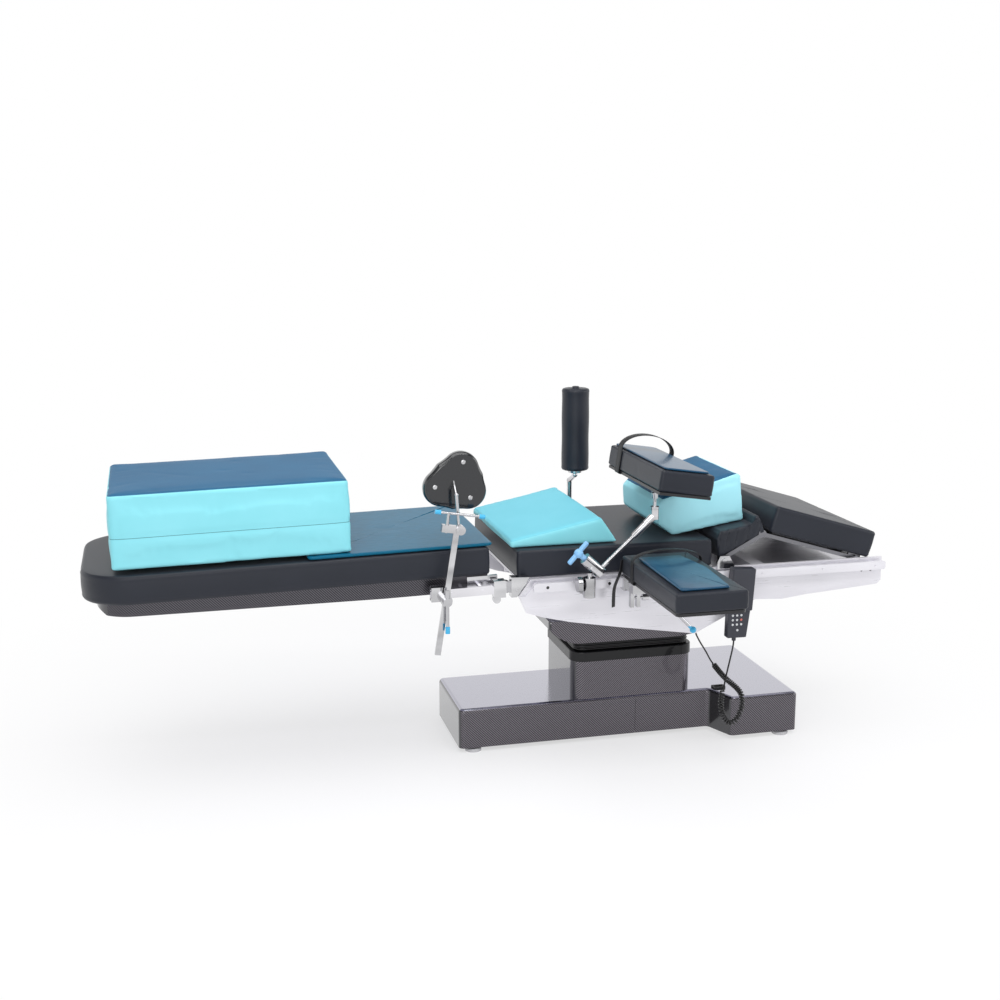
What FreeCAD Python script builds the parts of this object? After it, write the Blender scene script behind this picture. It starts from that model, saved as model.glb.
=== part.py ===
"""Operating table with side-lying positioning accessories, in millimetres.

The origin is on the floor under the lifting column. +X points to the head end, +Y to the far
side and +Z up. The tabletop is level, and the leg section hangs slightly below it.
"""
import FreeCAD, Part
import math
import os

V = FreeCAD.Vector
X_AXIS = V(1, 0, 0)
Y_AXIS = V(0, 1, 0)
Z_AXIS = V(0, 0, 1)

# Clearances
RUN = 0.05               # radial play of a pin or shaft in its bore
FIT = 0.3                # play between flat or curved faces that move past each other
REST = 0.3               # gap under a soft piece that lies on another

# Floor stand, T-shaped in plan
FOOT_REACH = 531.0       # column axis to the foot end of the cover
HEAD_REACH = 488.0       # column axis to the head end of the cover
BAR_WIDTH = 307.0
BLOCK_WIDTH = 493.0
BLOCK_LENGTH = 213.0     # wide block at the head end
STEP_SLANT = 38.0        # how far the step between bar and block leans
GROUND_GAP = 14.0
STAND_TOP = 132.0
COVER_WALL = 4.0
COVER_EDGE = 16.0        # rounding of the cover's upright corners
TOP_EDGE = 12.0          # rounding along the cover's top
COVER_SPLIT = 5.5        # where the two covers meet
COVER_SEAM = 1.0
CHASSIS_BOTTOM = 20.0
RAIL_TUBE_H = 40.0
RAIL_TUBE_W = 30.0
PAD_R = 24.0             # levelling pad
PAD_H = 9.0
PAD_STEM_R = 6.0
PAD_INSET = 45.0         # pad centre from the cover's end
PAD_SIDE = 23.0          # pad centre from the cover's side
CASTOR_R = 38.0
CASTOR_W = 24.0
CASTOR_LIFT = 1.5        # wheels hang clear of the floor while the pads are down
CASTOR_TRAIL = 20.0
CASTOR_X = 360.0
CASTOR_Y = 175.0
AXLE_R = 6.0
REAR_AXLE_X = -440.0
REAR_WHEEL_Y = 90.0
OUTLET_X = 272.0         # cable outlet
OUTLET_Y = -148.0

# Lifting column
COLUMN_FOOT = 187.0      # column axis to the cover's foot side
COLUMN_HEAD = 185.0
COLUMN_WIDTH = 300.0
COLUMN_CORNER = 38.0
COLUMN_TOP = 248.0
TRIM_TOP = 278.0
TRIM_PROUD = 3.0
TRIM_LIP = 30.0
BELLOWS_TOP = 309.0
BELLOWS_PLEATS = 3
TUBE_LENGTH_X = 200.0
TUBE_LENGTH_Y = 160.0
TUBE_WALL = 8.0
OUTER_TOP = 284.0
STAGE_TOP = 360.0        # top of the inner tube with the column down
CYLINDER_R = 28.0
RAM_R = 16.0
HEAD_PLATE = 12.0
SHROUD_FOOT = 264.0
SHROUD_HEAD = 202.0
SHROUD_WIDTH = 326.0
SHROUD_TOP = 380.0
SHROUD_RISE = 47.0       # how far the lower edge rises at the foot end
SHROUD_WALL = 4.0
SHROUD_SAG = 0.38        # height of the upswept edge's middle, as a share of its rise

# Tilting head
TILT_Z = 430.0           # lateral tilt axis
PITCH_Z = 465.0          # head-up and head-down axis
TILT_SHAFT_R = 16.0
TILT_PLATE_LENGTH = 220.0
TILT_PLATE_WIDTH = 160.0
TILT_PLATE_THICK = 12.0
YOKE_LENGTH = 143.4
YOKE_WIDTH = 124.0
YOKE_BOTTOM = 405.0
YOKE_TOP = 490.0
EAR_THICK = 18.0

# Main frame
CHEEK_Y = 265.0          # inner face of a side plate
CHEEK_THICK = 10.0
CHEEK_TOP = 543.0
RAIL_Y = 290.0           # inner face of a side rail
RAIL_THICK = 10.0
RAIL_BOTTOM = 511.0
RAIL_HEIGHT = 25.0
RAIL_FOOT = -350.0
RAIL_HEAD = 724.0
BEAM_Y = 62.3
BEAM_THICK = 12.0
BEAM_BOTTOM = 478.0
CROSS_BOTTOM = 508.0
CROSS_HEIGHT = 30.0
CROSS_WIDTH = 40.0
PANEL_BOTTOM = 538.0
PANEL_THICK = 7.0
PAD_WIDTH = 532.0        # mattress width
SEAT_FOOT = -388.0
SEAT_HEAD = 190.0
SEAT_THICK = 80.0
PAD_EDGE = 10.0
SOCKET_R = 12.0          # head-end coupling socket
SOCKET_DEPTH = 60.0
SOCKET_Y = 226.0
SOCKET_Z = 508.0
SOCKET_BLOCK = 36.0

# Thorax bridge: two hinged panels that rise to a ridge
PIVOT_X = 222.0
PIVOT_Z = 565.0
BRIDGE_A = 140.0         # pivot to ridge
BRIDGE_B = 314.0         # ridge to roller
ROLLER_R = 8.0
LEDGE_TOP = 531.0
RIDGE_ANGLE = 27.7
ARM_WIDTH = 10.0
BRIDGE_ARM_Y = 262.0     # outer face of the bridge's arms
EYE_R = 12.0
HINGE_PIN_R = 6.0

# Leg section
KNEE_X = -421.0
KNEE_Z = 525.0
LEG_DROP = 1.24          # degrees below level
LEG_END = -1555.0
LEG_HEAD = -464.0
LEG_PAD_BOTTOM = 562.5
LEG_PAD_THICK = 81.0
LEG_CORNER = 130.0
LEG_PANEL_END = -1518.0
LEG_PANEL_HEAD = -470.0
LEG_PANEL_WIDTH = 504.0
LEG_PANEL_BOTTOM = 517.0
LEG_PANEL_END_BOTTOM = 530.0
KNEE_PIN_R = 8.0
KNEE_BLOCK_Y = 272.0
KNEE_BLOCK_DEPTH = 28.0
LEG_RAIL_FOOT = -642.0
LEG_RAIL_HEAD = -463.0

# Cushions and mats
GEL_THICK = 9.0
GEL_FOOT = -963.0
GEL_HEAD = -455.0
CUSHION_FOOT = -1474.0
CUSHION_LENGTH = 636.0
CUSHION_HEIGHT = 206.0
CUSHION_DEPTH = 480.0
CUSHION_Y = -255.0
WEDGE_Y = -240.0
WEDGE_DEPTH = 470.0
HEAD_CUSHION_Y = -205.0
HEAD_CUSHION_DEPTH = 330.0
CUSHION_HEEL = 92.0      # where the head cushion's underside leaves the mattress
CUSHION_SLOPE = 0.156

# Pelvic support
POST_X = -603.0
POST_Z = 514.0
POST_LEAN = 9.1          # degrees, towards the head end
POST_Y = -321.0
POST_ABOVE = 189.0
POST_BELOW = 155.0
POST_BAR = 16.0
POST_BAR_THICK = 8.0
HUB_R = 16.0
PELVIC_PAD_THICK = 38.0
PELVIC_CORNER = 50.0     # radius of the pad's rounded corners
PELVIC_ROD_R = 5.0

# Upper arm support
ARM_Y = -340.0
ARM_POST_X = -202.0
BARREL_X = -193.0
BARREL_Z = 589.0
BARREL_TILT = 42.0       # degrees below level
BARREL_R = 17.0
BARREL_LENGTH = 66.0
BARREL_SPLIT = 14.0      # from the barrel's middle to the turning half
ARM_ROD_R = 6.0
JOINT_X = -35.0
JOINT_Z = 705.0
BOARD_STEM_X = -16.0
UPPER_WIDTH = 156.0
UPPER_LENGTH = 450.0
UPPER_ROLL = 8.5          # degrees, the head-end side lower
UPPER_PLATE_Z = 794.0
BOARD_PLATE = 8.0
UPPER_PAD_THICK = 60.0
UPPER_CORNER = 14.0      # cut of the board's far corners

# Lower arm board
BOARD_LEFT = -108.0
BOARD_WIDTH = 196.0
BOARD_NEAR = -758.0
BOARD_FAR = -332.0
BOARD_BOTTOM = 552.0
LOWER_PAD_THICK = 52.0
SWIVEL_X = -68.0
SWIVEL_Y = -352.0
SWIVEL_R = 14.0
GEL_PAD_THICK = 8.0

# Back support
BACK_X = -62.0
BACK_POST_Y = 320.0
BACK_ROLLER_Y = 262.0
BACK_ROLLER_R = 43.0
BACK_ROLLER_BOTTOM = 745.0
BACK_ROLLER_LENGTH = 258.0
BACK_POST_R = 8.0

# Hand control and its cord
HANDSET_X = 227.0
HANDSET_THICK = 28.0
HANDSET_STEP = 5.0       # how far the battery box stands out over the grip
HANDSET_TOP = 551.0
HANDSET_BOTTOM = 345.0
CORD_R = 2.1
COIL_R = 9.0             # outer radius of the curly part
CORD_LEAD = [(243, -316, 333.7), (243, -316, 320), (227.5, -326, 271.8), (208.4, -344, 227.1),
             (199.9, -354.7, 201.5)]
CORD_COIL = [(199.7, -355, 200.8), (189, -365, 184.2), (184, -374, 160.9), (189.2, -381, 130.3),
             (204.7, -383, 108.4), (224.6, -382, 110), (243.6, -377, 133.5), (254.1, -369, 160.6),
             (253.9, -358, 187.6), (239.6, -344, 205.3), (221.2, -326, 220.1), (207, -302, 238.5),
             (197.3, -276, 256.1)]
CORD_TAIL = [(197.2, -275.8, 256.3), (193.5, -265.8, 263.1), (181.7, -260, 288.2), (162, -260, 318.2),
             (143.5, -260, 353.7), (141, -260, 430), (144, -260, 507.7)]

os.makedirs("parts", exist_ok=True)


def save(name, *solids):
    """Write one node: a single solid, or a group of separate ones."""
    flat = [s for shape in solids for s in shape.Solids]
    shape = flat[0] if len(flat) == 1 else Part.makeCompound(flat)
    shape.exportStep("parts/" + name + ".step")


def box(x0, x1, y0, y1, z0, z1):
    return Part.makeBox(x1 - x0, y1 - y0, z1 - z0, V(x0, y0, z0))


def rod(radius, a, b):
    a, b = V(*a), V(*b)
    return Part.makeCylinder(radius, (b - a).Length, a, b - a)


def both_sides(shape):
    """The piece and its mirror image on the other side of the table."""
    return [shape, shape.mirror(V(0, 0, 0), Y_AXIS)]


def plate_xz(points, y0, y1):
    """A plate with its outline in the XZ plane, from y0 to y1."""
    wire = Part.makePolygon([V(x, y0, z) for x, z in points + points[:1]])
    return Part.Face(wire).extrude(V(0, y1 - y0, 0))


def plate_xy(points, z0, z1):
    wire = Part.makePolygon([V(x, y, z0) for x, y in points + points[:1]])
    return Part.Face(wire).extrude(V(0, 0, z1 - z0))


def round_edges(shape, radius, chosen):
    """Fillet the edges that the test chooses."""
    edges = [e for e in shape.Edges if chosen(e)]
    return shape.makeFillet(radius, edges) if edges else shape


def upright(edge):
    a, b = edge.Vertexes[0].Point, edge.Vertexes[-1].Point
    return abs(a.x - b.x) < 0.01 and abs(a.y - b.y) < 0.01 and abs(a.z - b.z) > 0.01


def rounded_box(x0, x1, y0, y1, z0, z1, radius):
    return round_edges(box(x0, x1, y0, y1, z0, z1), radius, upright)


def at_height(z):
    return lambda e: all(abs(v.Point.z - z) < 0.01 for v in e.Vertexes)


def soft_block(x0, x1, y0, y1, z0, z1, radius=PAD_EDGE):
    """A cushion's plain form: a block with all its edges rounded."""
    return round_edges(box(x0, x1, y0, y1, z0, z1), radius, lambda e: True)


def turned(shape, degrees, centre, axis):
    copy = shape.copy()
    copy.rotate(V(*centre), axis, degrees)
    return copy


def fused(first, *rest):
    shape = first
    for piece in rest:
        shape = shape.fuse(piece)
    return shape.removeSplitter()


def leg_tilted(shape):
    """Hang a leg-section piece at the section's resting slope."""
    return turned(shape, -LEG_DROP, (KNEE_X, 0, KNEE_Z), Y_AXIS)


# Floor stand


def stand_plan(inset, z0, z1, x_from, x_to):
    """The T-shaped plan, drawn in by an inset, between two stations along the table."""
    bar = BAR_WIDTH / 2 - inset
    block = BLOCK_WIDTH / 2 - inset
    start = HEAD_REACH - BLOCK_LENGTH + inset
    end = HEAD_REACH - inset
    outline = [(-FOOT_REACH + inset, -bar), (start - STEP_SLANT, -bar), (start, -block), (end, -block),
               (end, block), (start, block), (start - STEP_SLANT, bar), (-FOOT_REACH + inset, bar)]
    plan = plate_xy(outline, z0, z1)
    return plan.common(box(x_from, x_to, -BLOCK_WIDTH, BLOCK_WIDTH, z0, z1))


def outer_upright(edge):
    return upright(edge) and abs(edge.Vertexes[0].Point.x - COVER_SPLIT) > 2 * COVER_SEAM


def rounded_stand(inset, z0, z1, x_from, x_to):
    """The stand's form drawn in by an inset, with its corners and its top edge rounded."""
    form = round_edges(stand_plan(inset, z0, z1, x_from, x_to), COVER_EDGE - inset, outer_upright)
    top_rim = at_height(z1)
    return round_edges(form, TOP_EDGE - inset,
                       lambda e: top_rim(e) and any(abs(v.Point.x - COVER_SPLIT) > 2 * COVER_SEAM
                                                    for v in e.Vertexes))


def stand_cover(x_from, x_to):
    """An open-bottomed shell with rounded corners and a rounded top edge."""
    outer = rounded_stand(0, GROUND_GAP, STAND_TOP, x_from, x_to)
    inner = rounded_stand(COVER_WALL, GROUND_GAP - 1, STAND_TOP - COVER_WALL, x_from - 1, x_to + 1)
    opening = box(-TUBE_LENGTH_X / 2 - FIT, TUBE_LENGTH_X / 2 + FIT,
                  -TUBE_LENGTH_Y / 2 - FIT, TUBE_LENGTH_Y / 2 + FIT, GROUND_GAP, STAND_TOP + 1)
    return outer.cut([inner, opening])


def pad_places():
    foot_y = BAR_WIDTH / 2 - PAD_SIDE
    head_y = BLOCK_WIDTH / 2 - PAD_SIDE
    foot_x = -FOOT_REACH + PAD_INSET
    head_x = HEAD_REACH - PAD_INSET
    return [(foot_x, -foot_y), (foot_x, foot_y), (head_x, -head_y), (head_x, head_y)]


def chassis():
    """Welded tubes under the covers, which carry the column, the castors and the pads."""
    low = CHASSIS_BOTTOM
    high = low + RAIL_TUBE_H
    side = BAR_WIDTH / 2 - PAD_SIDE - RAIL_TUBE_W / 2 + 4
    foot = -FOOT_REACH + COVER_WALL + FIT
    cross_y = BAR_WIDTH / 2 - COVER_WALL - FIT
    head_y = BLOCK_WIDTH / 2 - COVER_WALL - FIT
    head = HEAD_REACH - COVER_WALL - FIT
    sweep = CASTOR_R + CASTOR_TRAIL + 6
    bay = CASTOR_X - sweep
    castor_top = CASTOR_LIFT + 2 * CASTOR_R + 24
    beams = [box(foot, bay, s - RAIL_TUBE_W / 2, s + RAIL_TUBE_W / 2, low, high) for s in (-side, side)]
    wheel_bay = REAR_AXLE_X + CASTOR_R + 6
    beams.append(box(foot, REAR_AXLE_X - CASTOR_R - 6, -cross_y, cross_y, low, high))
    beams.append(box(-150, 150, -cross_y, cross_y, low, low + 16))
    beams.append(box(wheel_bay, wheel_bay + 20, -side, side, low, high))
    beams.append(box(bay - 20, bay, -side - RAIL_TUBE_W / 2, side + RAIL_TUBE_W / 2, low, high))
    beams.append(box(bay - 10, head, -CASTOR_Y + sweep, CASTOR_Y - sweep, low, high))
    beams.append(box(CASTOR_X + sweep, head, -head_y, head_y, low, castor_top + 8))
    for s in (-1, 1):
        y = sorted((s * (CASTOR_Y - sweep - 6), s * head_y))
        beams.append(box(bay, head, y[0], y[1], castor_top, castor_top + 8))
        web = sorted((s * (CASTOR_Y - sweep - 6), s * (CASTOR_Y - sweep)))
        beams.append(box(bay, head, web[0], web[1], low, castor_top + 8))
        lug = sorted((s * (REAR_WHEEL_Y - CASTOR_W / 2 - 10), s * (REAR_WHEEL_Y - CASTOR_W / 2 - 2)))
        beams.append(box(REAR_AXLE_X - 16, wheel_bay + 1, lug[0], lug[1], low, high))
    room = stand_plan(COVER_WALL + FIT, low - 1, STAND_TOP, -FOOT_REACH, HEAD_REACH)
    room = round_edges(room, COVER_EDGE - COVER_WALL - FIT, upright)
    frame = fused(beams[0], *beams[1:]).common(room)
    axle = CASTOR_R + CASTOR_LIFT
    holes = [rod(AXLE_R + RUN, (REAR_AXLE_X, -side + 20, axle), (REAR_AXLE_X, side - 20, axle))]
    holes += [rod(PAD_STEM_R + 2 * RUN, (x, y, 0), (x, y, high + 1)) for x, y in pad_places()]
    holes += [rod(8 + RUN, (CASTOR_X, s * CASTOR_Y, low), (CASTOR_X, s * CASTOR_Y, castor_top + 9))
              for s in (-1, 1)]
    return frame.cut(holes)


def levelling_pad(x, y):
    disc = Part.makeCylinder(PAD_R, PAD_H, V(x, y, 0))
    disc = disc.makeChamfer(2.5, [e for e in disc.Edges if at_height(PAD_H)(e)])
    stem = rod(PAD_STEM_R, (x, y, PAD_H - 1), (x, y, CHASSIS_BOTTOM + RAIL_TUBE_H))
    return fused(disc, stem)


def wheel(x, y, axle_radius, width=CASTOR_W):
    """A turned wheel with a rounded tread and a dished side."""
    z = CASTOR_R + CASTOR_LIFT
    tyre = Part.makeCylinder(CASTOR_R, width, V(x, y - width / 2, z), Y_AXIS)
    tyre = tyre.makeFillet(4, [e for e in tyre.Edges if abs(e.Length - 2 * math.pi * CASTOR_R) < 0.1])
    dish = [Part.makeCylinder(CASTOR_R - 11, 4, V(x, side, z), Y_AXIS)
            for side in (y - width / 2 - 1, y + width / 2 - 3)]
    return tyre.cut(dish + [Part.makeCylinder(axle_radius, width + 2, V(x, y - width / 2 - 1, z), Y_AXIS)])


def castor_fork(side):
    """A swivel fork: stem, crown, two legs and the wheel's axle."""
    y = side * CASTOR_Y
    x = CASTOR_X
    hub = x - CASTOR_TRAIL
    z = CASTOR_R + CASTOR_LIFT
    crown = 2 * CASTOR_R + CASTOR_LIFT + 6
    plate_top = 2 * CASTOR_R + CASTOR_LIFT + 24 - FIT
    half = CASTOR_W / 2 + 1
    legs = []
    for s in (-1, 1):
        low, high = sorted((y + s * half, y + s * (half + 5)))
        outline = [(hub - 9, z - 9), (hub + 9, z - 9), (x + 16, crown), (x - 22, crown)]
        legs.append(plate_xz(outline, low, high))
    top = box(x - 22, x + 16, y - half - 5, y + half + 5, crown, crown + 6)
    boss = Part.makeCylinder(15, plate_top - crown - 6, V(x, y, crown + 6))
    stem = Part.makeCylinder(8, plate_top + 8 - crown, V(x, y, crown))
    axle = rod(AXLE_R, (hub, y - half - 5, z), (hub, y + half + 5, z))
    return fused(top, boss, stem, axle, *legs)


def rear_wheels():
    """Two wheels pressed on one axle under the foot end."""
    z = CASTOR_R + CASTOR_LIFT
    reach = REAR_WHEEL_Y + CASTOR_W / 2
    axle = rod(AXLE_R, (REAR_AXLE_X, -reach, z), (REAR_AXLE_X, reach, z))
    wheels = [wheel(REAR_AXLE_X, s * REAR_WHEEL_Y, AXLE_R - 0.5) for s in (-1, 1)]
    return fused(axle, *wheels)


def cable_outlet():
    """Black grommet frame on the block's top, beside the step."""
    x, y = OUTLET_X, OUTLET_Y
    frame = rounded_box(x - 20, x + 20, y - 13, y + 13, STAND_TOP, STAND_TOP + 5, 6)
    throat = rounded_box(x - 13, x + 13, y - 7, y + 7, STAND_TOP + 1.5, STAND_TOP + 6, 4)
    return frame.cut(throat)


def make_stand():
    save("base_cover_foot", stand_cover(-FOOT_REACH, COVER_SPLIT - COVER_SEAM / 2))
    save("base_cover_head", stand_cover(COVER_SPLIT + COVER_SEAM / 2, HEAD_REACH))
    save("base_chassis", chassis())
    save("levelling_feet", *[levelling_pad(x, y) for x, y in pad_places()])
    for side, name in ((-1, "near"), (1, "far")):
        save("castor_fork_" + name, castor_fork(side))
        save("castor_wheel_" + name, wheel(CASTOR_X - CASTOR_TRAIL, side * CASTOR_Y, AXLE_R + RUN))
    save("rear_wheels", rear_wheels())
    save("cable_outlet", cable_outlet())


# Lifting column


def column_cover():
    """Fixed lower casing, and the trim ring that closes its top."""
    half = COLUMN_WIDTH / 2
    casing = rounded_box(-COLUMN_FOOT, COLUMN_HEAD, -half, half, STAND_TOP, COLUMN_TOP, COLUMN_CORNER)
    wall = COVER_WALL
    casing = casing.cut(rounded_box(-COLUMN_FOOT + wall, COLUMN_HEAD - wall, -half + wall, half - wall,
                                    STAND_TOP - 1, COLUMN_TOP + 1, COLUMN_CORNER - wall))
    out = TRIM_PROUD
    lip = TRIM_LIP
    ring = rounded_box(-COLUMN_FOOT - out, COLUMN_HEAD + out, -half - out, half + out,
                       COLUMN_TOP, TRIM_TOP, COLUMN_CORNER + out)
    ring = round_edges(ring, 4, at_height(TRIM_TOP))
    ring = ring.cut([rounded_box(-COLUMN_FOOT + wall, COLUMN_HEAD - wall, -half + wall, half - wall,
                                 COLUMN_TOP - 1, TRIM_TOP - wall, COLUMN_CORNER - wall),
                     rounded_box(-COLUMN_FOOT + lip, COLUMN_HEAD - lip, -half + lip, half - lip,
                                 COLUMN_TOP, TRIM_TOP + 1, COLUMN_CORNER / 2)])
    return [casing, ring]


def tube(length_x, length_y, wall, z0, z1):
    outer = rounded_box(-length_x / 2, length_x / 2, -length_y / 2, length_y / 2, z0, z1, 12)
    inner = rounded_box(-length_x / 2 + wall, length_x / 2 - wall, -length_y / 2 + wall,
                        length_y / 2 - wall, z0 - 1, z1 + 1, 12 - wall if wall < 11 else 1)
    return outer.cut(inner)


def outer_stage():
    """Fixed outer tube, and the barrel of the hydraulic cylinder that raises the column."""
    floor = CHASSIS_BOTTOM + 16
    barrel = Part.makeCylinder(CYLINDER_R, OUTER_TOP - floor - 6, V(0, 0, floor))
    bore = Part.makeCylinder(RAM_R + RUN, OUTER_TOP - floor, V(0, 0, floor + 12))
    return [tube(TUBE_LENGTH_X, TUBE_LENGTH_Y, TUBE_WALL, floor, OUTER_TOP), barrel.cut(bore)]


def middle_stage():
    inset = 2 * (TUBE_WALL + FIT)
    floor = CHASSIS_BOTTOM + 16 + 4
    return tube(TUBE_LENGTH_X - inset, TUBE_LENGTH_Y - inset, TUBE_WALL, floor, OUTER_TOP + 12)


def inner_stage():
    """Inner tube with its head plate, and the cylinder's ram."""
    inset = 4 * (TUBE_WALL + FIT)
    floor = CHASSIS_BOTTOM + 16 + 8
    stem = tube(TUBE_LENGTH_X - inset, TUBE_LENGTH_Y - inset, TUBE_WALL, floor, STAGE_TOP)
    plate = box(-130, 130, -100, 100, STAGE_TOP, STAGE_TOP + HEAD_PLATE)
    ram = Part.makeCylinder(RAM_R, STAGE_TOP - floor - 10, V(0, 0, floor + 10))
    return fused(stem, plate, ram)


def bellows():
    """Pleated gaiter between the trim ring and the shroud, folded flat with the column down."""
    pitch = (BELLOWS_TOP - TRIM_TOP) / BELLOWS_PLEATS
    half = COLUMN_WIDTH / 2 - 6
    pleats = []
    for k in range(BELLOWS_PLEATS):
        z = TRIM_TOP + k * pitch
        pleat = rounded_box(-COLUMN_FOOT + 6, COLUMN_HEAD - 6, -half, half, z, z + pitch, COLUMN_CORNER - 6)
        pleats.append(round_edges(pleat, pitch / 2.5, at_height(z + pitch)))
    body = fused(pleats[0], *pleats[1:])
    lip = TRIM_LIP
    return body.cut(rounded_box(-COLUMN_FOOT + lip, COLUMN_HEAD - lip, -half + lip - 6, half - lip + 6,
                                TRIM_TOP - 1, BELLOWS_TOP + 1, COLUMN_CORNER / 2))


def shroud():
    """Carbon casing under the tabletop, with an upswept lower edge at the foot end."""
    foot, head, wall = -SHROUD_FOOT, SHROUD_HEAD, SHROUD_WALL
    half = SHROUD_WIDTH / 2

    def profile(inset, top):
        low = BELLOWS_TOP - (0 if inset == 0 else 1)
        start = V(foot + inset, 0, BELLOWS_TOP + SHROUD_RISE)
        knee = V(foot + 90, 0, low)
        mid = V(foot + 34 + inset / 2, 0, BELLOWS_TOP + SHROUD_RISE * SHROUD_SAG)
        arc = Part.Arc(start, mid, knee).toShape()
        corners = [knee, V(head - 60, 0, low), V(head - inset, 0, low + 9), V(head - inset, 0, top),
                   V(foot + inset, 0, top), start]
        edges = [Part.LineSegment(a, b).toShape() for a, b in zip(corners, corners[1:])]
        return Part.Face(Part.Wire([arc] + edges))

    outer = profile(0, SHROUD_TOP).extrude(V(0, 2 * half, 0))
    outer.translate(V(0, -half, 0))
    outer = round_edges(outer, 16, upright)
    inner = profile(wall, SHROUD_TOP - wall).extrude(V(0, 2 * (half - wall), 0))
    inner.translate(V(0, -half + wall, 0))
    reach_x, reach_y = TILT_PLATE_LENGTH / 2 + FIT, TILT_PLATE_WIDTH / 2 + FIT
    hatch = box(-reach_x, reach_x, -reach_y, reach_y, SHROUD_TOP - 2 * wall, SHROUD_TOP + 1)
    return outer.cut([inner, hatch])


def tilt_head():
    """Base plate with two ears that hold the lateral tilt shaft."""
    floor = STAGE_TOP + HEAD_PLATE
    plate = box(-TILT_PLATE_LENGTH / 2, TILT_PLATE_LENGTH / 2, -TILT_PLATE_WIDTH / 2, TILT_PLATE_WIDTH / 2,
                floor, floor + TILT_PLATE_THICK)
    ear_x = YOKE_LENGTH / 2 + FIT
    ears = []
    for x0 in (ear_x, -ear_x - EAR_THICK):
        ear = box(x0, x0 + EAR_THICK, -40, 40, floor + 11, TILT_Z)
        cap = Part.makeCylinder(26, EAR_THICK, V(x0, 0, TILT_Z), X_AXIS)
        ears += [ear, cap]
    reach = ear_x + EAR_THICK
    shaft = rod(TILT_SHAFT_R, (-reach, 0, TILT_Z), (reach, 0, TILT_Z))
    return fused(plate, shaft, *ears)


def tilt_yoke():
    """Cardan block: turns on the lateral shaft and carries the pitch shaft."""
    length, width = YOKE_LENGTH / 2, YOKE_WIDTH / 2
    block = round_edges(box(-length, length, -width, width, YOKE_BOTTOM, YOKE_TOP), 8, upright)
    block = block.cut(rod(TILT_SHAFT_R + RUN, (-length - 1, 0, TILT_Z), (length + 1, 0, TILT_Z)))
    reach = BEAM_Y + BEAM_THICK + 4
    journals = [rod(14, (0, s * (width - 1), PITCH_Z), (0, s * reach, PITCH_Z)) for s in (-1, 1)]
    return fused(block, *journals)


def make_column():
    save("column_cover", *column_cover())
    save("column_outer_stage", *outer_stage())
    save("column_middle_stage", middle_stage())
    save("column_inner_stage", inner_stage())
    save("column_bellows", bellows())
    save("column_shroud", shroud())
    save("tilt_head", tilt_head())
    save("tilt_yoke", tilt_yoke())


# Main frame


def cheek():
    """Polished side plate of the tabletop frame, near side."""
    outline = [(-353, CHEEK_TOP), (-387, 497), (-364, 447), (-316, 431), (-237, 412), (-89, 386),
               (140, 350), (324, 440), (408, 435), (482, 444), (595, 452), (712, 461), (RAIL_HEAD, 473),
               (RAIL_HEAD, CHEEK_TOP)]
    outer = -CHEEK_Y - CHEEK_THICK
    plate = plate_xz(outline, outer, -CHEEK_Y)
    slot = plate_xz([(-346, CHEEK_TOP - 4), (-331, CHEEK_TOP - 4), (-366, 496), (-381, 496)],
                    outer - 1, outer + 4)
    return plate.cut(slot)


def side_rail(foot, head, bottom):
    """Flat accessory rail with a rounded end, held off the frame on spacers."""
    rail = box(foot, head, -RAIL_Y - RAIL_THICK, -RAIL_Y, bottom, bottom + RAIL_HEIGHT)
    return round_edges(rail, 7, lambda e: abs(e.Vertexes[0].Point.x - e.Vertexes[-1].Point.x) < 0.01
                       and abs(e.Vertexes[0].Point.z - e.Vertexes[-1].Point.z) < 0.01)


def rail_spacers(stations, bottom, inner_face):
    z = bottom + RAIL_HEIGHT / 2
    return [rod(8, (x, -RAIL_Y, z), (x, -inner_face, z)) for x in stations]


def main_rail():
    stations = (-310, -130, 50, 330, 520, 690)
    rail = side_rail(RAIL_FOOT, RAIL_HEAD, RAIL_BOTTOM)
    z = RAIL_BOTTOM + RAIL_HEIGHT / 2
    recesses = [rod(2.6, (x, -RAIL_Y - RAIL_THICK - 1, z), (x, -RAIL_Y - RAIL_THICK + 2, z)) for x in stations]
    return fused(rail, *rail_spacers(stations, RAIL_BOTTOM, CHEEK_Y + CHEEK_THICK)).cut(recesses)


def beam():
    """Longitudinal beam with an ear that turns on the pitch shaft."""
    near = -BEAM_Y - BEAM_THICK
    bar = box(-340, 340, near, -BEAM_Y, BEAM_BOTTOM, CROSS_BOTTOM)
    ear = Part.makeCylinder(28, BEAM_THICK, V(0, near, PITCH_Z), Y_AXIS)
    web = box(-28, 28, near, -BEAM_Y, PITCH_Z, BEAM_BOTTOM + 5)
    return fused(bar, ear, web).cut(rod(14 + RUN, (0, near - 1, PITCH_Z), (0, -BEAM_Y + 1, PITCH_Z)))


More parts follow.
